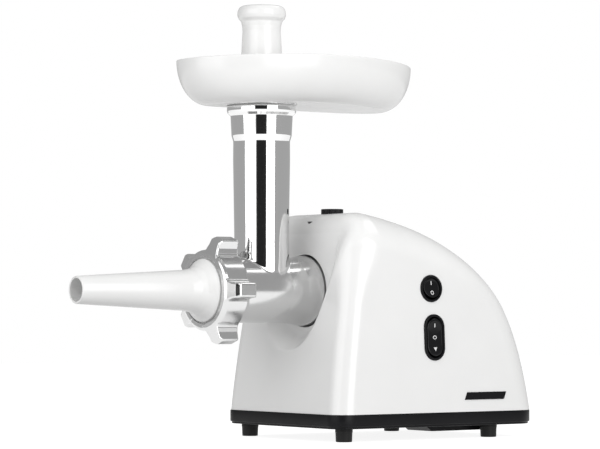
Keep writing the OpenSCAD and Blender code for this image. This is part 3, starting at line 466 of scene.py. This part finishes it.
def housing_solid(x, y, z):
    """The housing without its recess: the side profile and the leaning sides, joined by a round edge."""
    r = edge_radius(y, z)
    u = side_profile(y, z) + r
    v = np.abs(x) - half_width(z) + r
    return np.minimum(np.maximum(u, v), 0) + np.hypot(np.maximum(u, 0), np.maximum(v, 0)) - r


def scoop_field(x, y, z):
    """The recess in the front: U-shaped sections that narrow toward a flat back wall."""
    depth = np.clip(y, -30, SCOOP_BACK_Y + 8)
    half_slope = (SCOOP_BACK_HALF_W - SCOOP_MOUTH_HALF_W) / (SCOOP_BACK_Y - SCOOP_MOUTH_Y)
    half = SCOOP_MOUTH_HALF_W + (depth - SCOOP_MOUTH_Y) * half_slope
    low_slope = 13.4 / 18.5
    low = 83.6 + (depth - 1.5) * low_slope
    power = 1 / 0.42
    s = np.abs(x) / half
    rise = (AXIS_Z - low) * s**power
    value = rise - (z - low)
    slope_x = (AXIS_Z - low) * power * s ** (power - 1) / half
    slope_y = low_slope * (1 - s**power) - power * rise * half_slope / half
    sides = value / np.sqrt(1 + slope_x**2 + slope_y**2)
    return smooth_max(sides, y - SCOOP_BACK_Y, 5.0)


def housing_outer(x, y, z):
    """The edge of the recess is crisp low down and soft at the top."""
    softness = 1.6 + 16 * np.clip((z - 130) / 60, 0, 1) ** 2
    return smooth_max(housing_solid(x, y, z), -scoop_field(x, y, z), softness)


def build_housing():
    """The outer skin less an inner cavity, with openings for the head, the switches and the button."""

    def skin(x, y, z, shrink, floor_z):
        """The housing drawn in by a length and ended at a height."""
        return np.maximum(housing_outer(x, y, z) + shrink, floor_z - z)

    outer_cell, inner_cell = ((1.25, 2.5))
    high = (95, 232, 211)
    net = surface_net(lambda x, y, z: skin(x, y, z, 0, 18), (-95, -10, 16), high, outer_cell)
    outer = new_object("housing", *net)
    inner = cutter(surface_net(lambda x, y, z: skin(x, y, z, WALL, 14), (-95, -10, 12), high, inner_cell))
    round_hole = turned(rounded([(0, -24), (11.6, -24), (11.6, 8), (0, 8)]), "z", (0, 0), 96)
    oblong = stacked([stadium_ring(20.5, 10.5, z) for z in (-24, 8)])
    button_hole = bore(BUTTON_R + 0.5, 190, 230, "z", (0, BUTTON_Y), 96)
    opening = bore(OPENING_R, 8, 32)
    floor_cut = cutter(box_shape((-120, -40, 0), (120, 260, HOUSING_Z)))
    pin_pocket = bore(6.0, 188, 201.6, "z", (0, PIN_Y), 64)
    cutters = [inner, opening, button_hole, floor_cut, pin_pocket]
    cutters += [cutter(round_hole, on_side(*POWER_AT)), cutter(oblong, on_side(*DIRECTION_AT))]
    return combine(outer, cutters, "DIFFERENCE")


def on_side(y, z):
    """The frame of the right side face: local Z points out of it, local X points down."""
    turn = Matrix.Rotation(math.pi / 2 - math.atan(SIDE_LEAN), 4, "Y")
    return Matrix.Translation((half_width(z), y, z)) @ turn


def stadium_ring(half_x, half_y, z, steps=24):
    """One ring of a shape with fully round ends, its long side along X."""
    ring = []
    for side, start in ((1, -90), (-1, 90)):
        for k in range(steps + 1):
            a = math.radians(start + 180 * k / steps)
            ring.append((side * (half_x - half_y) + half_y * math.cos(a), half_y * math.sin(a), z))
    return ring


show(build_housing(), "housing", WHITE, "white_gloss", "housing_shell")


# ---- Base, feet and fittings under and behind the housing ----


def plate_ring(inset, z, steps=12):
    """One ring of the base: a rectangle whose front corners are tighter than its rear corners."""
    half_x, y0, y1 = BODY_HALF_W - inset, BODY_FRONT_Y + inset, BODY_REAR_Y - inset
    front, rear = CORNER_FRONT_R, CORNER_REAR_R
    ring = []
    for sx, y, r, start in ((1, y0, front, -90), (1, y1, rear, 0), (-1, y1, rear, 90), (-1, y0, front, 180)):
        r = max(r - inset, 1)
        centre = (sx * (half_x - r), y + r if y == y0 else y - r)
        for k in range(steps + 1):
            a = math.radians(start + 90 * k / steps)
            ring.append((centre[0] + r * math.cos(a), centre[1] + r * math.sin(a), z))
    return ring


def build_base():
    steps = [
        (2.3, 12.0), (1.8, 12.1), (1.5, 12.5), (1.5, 13.6), (1.3, 13.9), (0.5, 14.1), (0.1, 14.4),
        (0, 14.9),
    ]
    steps += [(0, 24.3), (0.15, 24.8), (0.6, 24.97), (3, 24.97), (3, 14.8), (3.3, 14.5)]
    base = new_object("base", *stacked([plate_ring(inset, z) for inset, z in steps]))
    slots = [cutter(box_shape((34 + 7 * k, 126, 10), (37 + 7 * k, 186, 18))) for k in range(4)]
    return combine(base, slots, "DIFFERENCE")


def build_foot(name, x, y):
    """A hollow-bottomed rubber foot with a collar under the base."""
    outline = [
        (0, 3), (2.5, 3, 0.3), (2.5, 0, 0.3), (7.4, 0, 0.9), (7.75, 8.6, 0.3), (8, 9, 0.3),
        (8, 12, 0.2), (0, 12),
    ]
    return new_object(name, *turned(rounded(outline), "z", (x, y), 72))


show(build_base(), "housing", BLACK, "black_plastic", "base_tray")
for end, foot_y in (("front", 10), ("rear", 180)):
    for side, foot_x in (("left", -74), ("right", 74)):
        foot = build_foot(f"rubber_foot_{end}_{side}", foot_x, foot_y)
        show(foot, "housing", RUBBER, "foot_rubber", f"foot_{end}_{side}")


# ---- Switches and badge ----


def build_bezels():
    ring = rounded([
        (10.3, -0.5), (12.6, -0.5), (12.6, 0.9, 0.5), (12.0, 1.8, 0.6), (10.9, 1.8, 0.5),
        (10.3, 1.2, 0.3),
    ])
    power = new_object("power_switch_bezel", *turned(ring, "z", (0, 0), 128), matrix=on_side(*POWER_AT))
    levels = [
        (0, -0.5), (0, 0.7), (0.12, 1.15), (0.45, 1.55), (0.9, 1.75), (1.5, 1.8), (2.1, 1.7),
        (2.4, 1.4), (2.4, -0.5),
    ]
    rings = [stadium_ring(21.4 - i, 11.9 - i, z, 32) for i, z in levels]
    loft = stacked(rings, closed=True)
    return power, new_object("direction_switch_bezel", *loft, matrix=on_side(*DIRECTION_AT))


def tilted(y, z, depth, degrees):
    """The frame of a rocker: its pivot lies below the face, and it is tilted about the pivot."""
    turn = Matrix.Rotation(math.radians(degrees), 4, "Y")
    return on_side(y, z) @ Matrix.Translation((0, 0, depth)) @ turn


def rocker_top(x, half_x, low, high):
    """The height of a rocker's concave face along its length."""
    return low + (high - low) * (abs(x) / half_x) ** 1.7


FACE_DROP = 0.3  # how far a rocker's face lies below its rim
ROCKER_RIM = [
    (1, 0.5), (1, 0.35), (0.985, 0.1), (0.955, 0), (0.88, 0), (0.86, 0.25), (0.84, FACE_DROP),
]


def build_rocker(name, ring, half_x, low, high, bottom, matrix):
    """A rocker: a rim with a fine edge around a face that dips toward the middle."""

    def level(scale, drop, at):
        """A scaled ring below the top; its height is taken where the outer ring, scaled by at, would lie."""
        return [(x * scale, y * scale, rocker_top(x * at, half_x, low, high) - drop) for x, y, _ in ring]

    rings = [[(x * 0.985, y * 0.985, bottom) for x, y, _ in ring], [(x, y, bottom + 0.4) for x, y, _ in ring]]
    rings += [level(scale, drop, 1) for scale, drop in ROCKER_RIM]
    rings += [level(scale, FACE_DROP, scale) for scale in (0.7, 0.5, 0.3, 0.12, 0.03)]
    return new_object(name, *stacked(rings), matrix=matrix)


def flat_mark(name, outlines, matrix):
    """Thin printed marks: each outline is a ring of (x, y, z) points raised by a tenth of a millimetre."""
    points, faces = [], []
    for outline in outlines:
        raised, made = stacked([outline, [(x, y, z + 0.12) for x, y, z in outline]])
        faces += [[i + len(points) for i in f] for f in made]
        points += raised
    return new_object(name, points, faces, matrix=matrix)


def bar(x0, x1, y0, y1):
    return [(x0, y0), (x1, y0), (x1, y1), (x0, y1)]


def build_switches():
    power_frame = tilted(*POWER_AT, -3, -8)
    turns = [2 * math.pi * k / 96 for k in range(96)]
    disc = [(9.2 * math.cos(a), 9.2 * math.sin(a), 0) for a in turns]
    power = build_rocker("power_switch_rocker", disc, 9.2, 4.1, 5.1, -1.8, power_frame)
    direction_frame = tilted(*DIRECTION_AT, -5, 0)
    ring = stadium_ring(17.2, 8.7, 0, 32)
    direction = build_rocker("direction_switch_rocker", ring, 17.2, 6.2, 7.5, -2.4, direction_frame)
    return power, direction, power_frame, direction_frame


def round_mark(x, y, r_out, r_in, squash, steps=28):
    """The mark 0 as an oval ring made of short quads."""
    made = []
    for k in range(steps):
        quad = []
        for r, at in ((r_in, k), (r_out, k), (r_out, k + 1), (r_in, k + 1)):
            a = 2 * math.pi * at / steps
            quad.append((x + squash * r * math.cos(a), y + r * math.sin(a)))
        made.append(quad)
    return made


def on_face(outlines, half_x, low, high):
    """Lays flat outlines onto a rocker's concave face."""
    return [[(x, y, rocker_top(x, half_x, low, high) - 0.33) for x, y in outline] for outline in outlines]


def build_marks(power_frame, direction_frame):
    """Printed marks: on and off on the round rocker; forward, off and reverse on the oblong one."""
    power = [bar(-6.2, -2.8, -0.45, 0.45)] + round_mark(4.5, 0, 1.9, 1.2, 1.0)
    direction = [bar(-13.2, -11.2, -0.5, 0.5), bar(-11.2, -9.2, -0.5, 0.5)] + round_mark(0, 0, 2.2, 1.45, 0.8)
    direction += [[(9.2, -2.0), (12.8, 0), (9.2, 2.0)]]
    on_power = flat_mark("power_switch_marks", on_face(power, 9.2, 4.1, 5.1), power_frame)
    on_direction = flat_mark("direction_switch_marks", on_face(direction, 17.2, 6.2, 7.5), direction_frame)
    return on_power, on_direction


power_bezel, direction_bezel = build_bezels()
power_rocker, direction_rocker, power_frame, direction_frame = build_switches()
power_marks, direction_marks = build_marks(power_frame, direction_frame)
show(power_bezel, "housing", BLACK, "black_plastic", "power_bezel")
show(direction_bezel, "housing", BLACK, "black_plastic", "direction_bezel")
show(power_rocker, "power_rocker", BLACK_GLOSS, "black_gloss", "power_rocker")
show(direction_rocker, "direction_rocker", BLACK_GLOSS, "black_gloss", "direction_rocker")
show(power_marks, "power_rocker", MARK, "white_gloss")
show(direction_marks, "direction_rocker", MARK, "white_gloss")


for node, width in (("badge", 0.25), ("vent_cover", 0.4), ("cord_gland", 0.3)):
    edge = frame["nodes"][node].modifiers.new("edge", "BEVEL")
    edge.width = width * MM
    edge.segments = 3
    edge.limit_method = "ANGLE"
    edge.angle_limit = math.radians(35)


# ---- Lock button ----


def fluted(r, s, a):
    """Fine vertical ribs around the lock button's side."""
    on_rim = 1 if r > BUTTON_R - 0.6 and s < 213.2 else 0
    return r - on_rim * 0.3 * (0.5 - 0.5 * math.cos(40 * a))


button_outline = [(0, 194.5), (3, 194.5), (3, 205), (BUTTON_R, 205, 0.3), (BUTTON_R, BUTTON_TOP_Z, 0.6)]
button_outline += [(8.6, BUTTON_TOP_Z, 0.3), (8.2, 213.2, 0.3), (0, 213.2)]
lock_button = new_object("lock_button_cap", *turned(rounded(button_outline), "z", (0, BUTTON_Y), 320, fluted))
show(lock_button, "lock_button", BLACK_GLOSS, "black_gloss", "lock_button")


# ---- Grinding head ----

BARREL = [
    (-40, -86), (31, -86, 0.7), (31, -67, 0.8), (29.9, -64.5, 1.5), (29.5, -62, 1.5), (29.5, -14),
    (30.4, 3, 20),
]
BARREL += [(32.4, 14, 4), (32.4, 28), (33.35, 28), (33.35, 40, 0.5), (-40, 40)]
TUBE_FOOT = [(-40, 125), (25.2, 125), (25.4, 150), (25.4, 172), (25.1, 184), (25.2, 200), (-40, 200)]
SEAM_Z = 190.0
barrel_outline = Outline(rounded(BARREL), 0.25, 6)
tube_outline = Outline(TUBE_FOOT, 0.25, 6)


def barrel_field(x, y, z):
    return barrel_outline(np.hypot(x, z - AXIS_Z), y)


def tube_field(x, y, z):
    return tube_outline(np.hypot(x, y - TUBE_Y), z)


def head_field(x, y, z):
    return smooth_min(barrel_field(x, y, z), tube_field(x, y, z), 1.6)


def sector(r0, r1, y0, y1, start, end, steps=24):
    """A cutter: part of a ring around the barrel's axis, between two angles from +X toward +Z."""
    corners = ((r0, y0), (r1, y0), (r1, y1), (r0, y1))
    rings = []
    for k in range(steps + 1):
        a = math.radians(start + (end - start) * k / steps)
        rings.append([(r * math.cos(a), y, AXIS_Z + r * math.sin(a)) for r, y in corners])
    return cutter(stacked(rings))


def build_head():
    """The cast barrel with the foot of the feed tube, joined by a fillet and bored through."""
    cell = 0.7
    head = new_object("head_barrel", *surface_net(head_field, (-34, -87, 102), (34, 41, 196), cell))
    cutters = [
        bore(27.3, -90, -79.5),
        bore(24.5, -80.5, 13),
        bore(9.05, 10, 50),
        bore(22.9, AXIS_Z, 230, "z", (0, TUBE_Y)),
        cutter(box_shape((-2.2, -90, 162), (2.2, -79.5, 166))),
        cutter(box_shape((-60, -120, SEAM_Z), (60, 60, 230))),
        sector(28.6, 40, 27, 50, 36, 99),
    ]
    head = combine(head, cutters, "DIFFERENCE")
    head.data.materials.clear()
    head.data.materials.append(CAST)
    head.data.materials.append(POLISHED)
    for face in head.data.polygons:
        c = face.center / MM
        if c.z > AXIS_Z and math.hypot(c.x, c.y - TUBE_Y) < 27.5 and barrel_field(c.x, c.y, c.z) > 0.8:
            face.material_index = 1
    return head


def build_feed_tube():
    outline = [
        (22.9, SEAM_Z), (25.13, SEAM_Z), (26.2, 257), (26.1, 274, 3), (27.7, 279.5, 3),
        (28.6, 297.6, 1), (31.2, 300, 1.5),
    ]
    outline += [
        (31.9, 302, 1), (31.9, 305.5, 1), (31, 307.8, 0.8), (30.4, 308.2, 0.2), (32, 308.7, 0.3),
        (32, 309.5, 0.3),
    ]
    outline += [(23.2, 309.5, 0.3), (22.9, 309, 0.2)]
    return new_object("feed_tube", *turned(rounded(outline, 7), "z", (0, TUBE_Y), 256), angle=50)


head = build_head()
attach(head, "head")
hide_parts("head_casting")
show(build_feed_tube(), "head", POLISHED, "cast_aluminium")


# ---- Clamping ring ----

RING = [(-20, -94), (34.5, -94, 1), (36.6, -92.5, 1.2), (37, -90, 1.5), (37, -69, 0.6), (-20, -69)]
LUG_FACE = [
    (30, -9.9), (34, -9.5), (38, -8.6), (42, -7.2), (48.4, -6.6), (50, -5), (50, 5), (48.4, 6.6),
    (42, 7.2),
]
LUG_FACE += [(38, 8.6), (34, 9.5), (30, 9.9)]
LUG_SIDE = [(25, -69), (48.8, -69), (50, -70.2), (50, -86), (47, -90.5), (38, -92.6), (25, -93.3)]
ring_outline = Outline(rounded(RING), 0.2, 6)
lug_face = Outline(LUG_FACE, 0.2, 6)
lug_side = Outline(LUG_SIDE, 0.2, 6)
LUG_COUNT = 5


def ring_field(x, y, z):
    """The ring and its grip lugs, joined by small fillets."""
    up = z - AXIS_Z
    field = ring_outline(np.hypot(x, up), y)
    turn = 2 * math.pi / LUG_COUNT
    angle = np.arctan2(up, x)
    folded = angle - turn * np.round(angle / turn)
    radius = np.hypot(x, up)
    along, across = radius * np.cos(folded), radius * np.sin(folded)
    lug = smooth_max(lug_face(along, across), lug_side(along, y), 1.6)
    return smooth_min(field, lug, 1.8)


def build_ring():
    cell = 0.45
    net = surface_net(ring_field, (-51, -95, AXIS_Z - 51), (51, -68, AXIS_Z + 51), cell)
    ring = new_object("clamping_ring", *net)
    return combine(ring, [bore(31.3, -90.2, -60), bore(30.4, -100, -80)], "DIFFERENCE")


show(build_ring(), "ring", CAST, "cast_aluminium", "ring_nut")


# ---- Sausage nozzle ----


def build_nozzle():
    outer = [
        (10.4, -228, 0.5), (12, -228, 0.7), (12.4, -227), (18.4, -116, 30), (19.6, -108, 8),
        (22.2, -102, 6),
    ]
    outer += [(26, -97.5, 6), (28.6, -95, 1.6), (28.6, -90), (31, -90, 0.3), (31, -86.4, 0.3)]
    inner = [
        (25.8, -86.4), (25.8, -93, 2), (23.8, -96.6, 3), (20.2, -101, 6), (17.7, -107.4, 8),
        (16.4, -116, 20), (10.4, -214, 5),
    ]
    return new_object("sausage_nozzle", *turned(rounded(outer + inner, 8), "y", (0, AXIS_Z), 192))


show(build_nozzle(), "nozzle", WHITE, "white_gloss", "sausage_nozzle")


# ---- Feed tray ----

TRAY_Y = 9.5
TRAY_FLOOR_Z, TRAY_RIM_Z = 308.5, 350.5
TRAY_HALF_L, TRAY_HALF_W = 123.0, 75.0
TRAY_WALL = 2.2
TRAY_INSET = 30.0
TRAY_ARCH = 4.0


def tray_ring(inset, z, steps=192):
    """One oval ring of the tray, which bends down toward both ends."""
    ring = []
    for k in range(steps):
        a = 2 * math.pi * k / steps
        along = (TRAY_HALF_L - inset) * math.sin(a)
        drop = TRAY_ARCH * (along / TRAY_HALF_L) ** 2
        ring.append(((TRAY_HALF_W - inset) * math.cos(a), TRAY_Y + along, z - drop))
    return ring


def tray_inset(z):
    """How far the bowl's side has drawn in at a height."""
    s = min(1, max(0, (TRAY_RIM_Z - z) / (TRAY_RIM_Z - TRAY_FLOOR_Z)))
    return TRAY_INSET * (1 - math.sqrt(1 - 0.98 * s * s))


def build_tray():
    """The bowl, its raised seat over the feed tube's lip and the spigot that plugs into the tube."""
    levels = 32
    lip = TRAY_WALL / 2
    side_top = TRAY_RIM_Z - lip
    rings = [tray_ring(inset, TRAY_FLOOR_Z) for inset in (68, 54, 42, 34, 29)]
    for k in range(levels + 1):
        z = TRAY_FLOOR_Z + (side_top - TRAY_FLOOR_Z) * (1 - math.cos(math.pi / 2 * k / levels))
        rings.append(tray_ring(tray_inset(z), z))
    for k in range(1, 8):
        a = math.pi * k / 8
        rings.append(tray_ring(lip * (1 - math.cos(a)), side_top + lip * math.sin(a)))
    low = TRAY_FLOOR_Z + TRAY_WALL
    for k in range(levels + 1):
        z = side_top + (low - side_top) * math.sin(math.pi / 2 * k / levels)
        drop = TRAY_WALL * (side_top - z) / (side_top - low)
        rings.append(tray_ring(TRAY_WALL + tray_inset(z - drop), z))
    rings += [tray_ring(inset, low) for inset in (32, 36, 44, 56, 69)]
    bowl = new_object("feed_tray", *stacked(rings), angle=40)
    seat = [(0, TRAY_FLOOR_Z + 0.6), (36.5, TRAY_FLOOR_Z + 0.6), (36.5, low, 1.2), (35, low + 0.1, 1)]
    seat += [(34.6, 311.9, 0.7), (0, 311.9)]
    spigot = [(0, 286), (22.3, 286, 0.8), (22.3, 311.2), (0, 311.2)]
    added = [cutter(turned(rounded(outline), "z", (0, TUBE_Y), 160)) for outline in (seat, spigot)]
    bowl = combine(bowl, added, "UNION")
    groove = rounded([(22.3, 300), (32.6, 300), (32.6, 309.8, 0.4), (22.3, 309.8)])
    recess = cutter(turned(groove, "z", (0, TUBE_Y), 160))
    return combine(bowl, [bore(20.9, 270, 330, "z", (0, TUBE_Y), 160), recess], "DIFFERENCE", angle=40)


show(build_tray(), "tray", WHITE, "white_gloss", "tray")


# ---- Pusher ----


def build_pusher():
    outline = [
        (0, 172), (20.4, 172, 1.6), (20.4, 312.4, 0.4), (27, 312.4, 0.4), (27, 314.6, 0.8),
        (20.4, 315, 1.2),
    ]
    outline += [
        (19.8, 338), (18.7, 356, 20), (17.6, 376, 6), (17.9, 380, 5), (18.9, 384.6, 3),
        (21.4, 387.4, 2.5),
    ]
    outline += [
        (22.5, 390.6, 3), (22.2, 394.4, 3), (20.6, 397.6, 3), (18, 399, 3), (15, 399.4, 8),
        (0, 399.4),
    ]
    return new_object("pusher_body", *turned(rounded(outline, 7), "z", (0, TUBE_Y), 160))


show(build_pusher(), "pusher", WHITE, "white_gloss", "pusher")


# ---- Floor, lights and camera ----

CAMERA_AT = Vector((2.02849, -1.45965, 0.122))
CAMERA_AZIMUTH = math.atan2(-0.588, 0.809)
CAMERA_PITCH = math.radians(1.75)


def aim(obj, target):
    obj.rotation_euler = (Vector(target) - obj.location).to_track_quat("-Z", "Y").to_euler()


def soft_box(name, place, target, width, height, strength):
    """A rectangular area light; strength is the brightness of its face."""
    light = bpy.data.lights.new(name, "AREA")
    light.shape = "RECTANGLE"
    light.size, light.size_y = width, height
    light.energy = strength * width * height * math.pi
    obj = bpy.data.objects.new(name, light)
    bpy.context.scene.collection.objects.link(obj)
    obj.location = place
    aim(obj, target)


def upright(azimuth, distance):
    """A point on the floor around the object, at an azimuth from the camera's direction."""
    a = CAMERA_AZIMUTH + math.radians(azimuth)
    return distance * math.cos(a), distance * math.sin(a)


def card(name, corners, material):
    """A flat studio card, which is not part of the object."""
    mesh = bpy.data.meshes.new(name)
    mesh.from_pydata(corners, [], [(0, 1, 2, 3)])
    mesh.materials.append(material)
    obj = bpy.data.objects.new(name, mesh)
    bpy.context.scene.collection.objects.link(obj)
    return obj


FLOOR = surface("studio_floor", (0.4, 0.4, 0.4), 0.7, spread=0.003, rough_spread=0.01, grain=200, bump=0.0)
CARD_BLACK = surface("black_card", (0.006, 0.006, 0.006), 0.9, spread=0.1, grain=300, bump=0.0)

floor_shader = FLOOR.node_tree.nodes["Principled BSDF"]
floor_shader.inputs["Emission Color"].default_value = (1, 1, 1, 1)
floor_shader.inputs["Emission Strength"].default_value = 0.88
floor = card("floor", [(-3, -3, 0), (3, -3, 0), (3, 3, 0), (-3, 3, 0)], FLOOR)
floor.visible_diffuse = False

CARD_HEIGHT = 0.75
left_edge, right_edge = upright(-20, 1.15), upright(17, 1.15)
card_corners = [
    (*left_edge, 0), (*right_edge, 0), (*right_edge, CARD_HEIGHT), (*left_edge, CARD_HEIGHT),
]
black_card = card("black_card", card_corners, CARD_BLACK)
black_card.visible_camera = False
black_card.visible_diffuse = False
black_card.visible_shadow = False

PANEL_LOW, PANEL_HIGH = 0.02, 1.3
PANEL_MIDDLE = (PANEL_LOW + PANEL_HIGH) / 2
for name, azimuth, width, strength in (("left_softbox", -46, 1.1, 1.8), ("right_softbox", 37, 0.78, 3.8)):
    place = (*upright(azimuth, 1.3), PANEL_MIDDLE)
    soft_box(name, place, (0, 0, PANEL_MIDDLE), width, PANEL_HIGH - PANEL_LOW, strength)
soft_box("top_softbox", (0.0, 0.72, 1.35), (0, 0, 0.2), 0.9, 0.5, 2.0)

world = bpy.data.worlds.new("studio")
bpy.context.scene.world = world
world.use_nodes = True
world_nodes, world_links = world.node_tree.nodes, world.node_tree.links
backdrop = world_nodes["Background"]
backdrop.inputs["Color"].default_value = (0.44, 0.44, 0.44, 1)
white_back = world_nodes.new("ShaderNodeBackground")
white_back.inputs["Color"].default_value = (1, 1, 1, 1)
path = world_nodes.new("ShaderNodeLightPath")
mix = world_nodes.new("ShaderNodeMixShader")
world_links.new(path.outputs["Is Camera Ray"], mix.inputs["Fac"])
world_links.new(backdrop.outputs["Background"], mix.inputs[1])
world_links.new(white_back.outputs["Background"], mix.inputs[2])
world_links.new(mix.outputs["Shader"], world_nodes["World Output"].inputs["Surface"])

camera_data = bpy.data.cameras.new("camera")
camera_data.lens = 162
camera_data.sensor_width = 36
camera_data.clip_end = 50
camera = bpy.data.objects.new("camera", camera_data)
bpy.context.scene.collection.objects.link(camera)
camera.location = CAMERA_AT
flat = Vector((-0.809, 0.588, 0)).normalized()
view_direction = flat * math.cos(CAMERA_PITCH) + Vector((0, 0, math.sin(CAMERA_PITCH)))
camera.rotation_euler = view_direction.to_track_quat("-Z", "Y").to_euler()
bpy.context.scene.camera = camera
bpy.context.scene.view_settings.view_transform = "Standard"
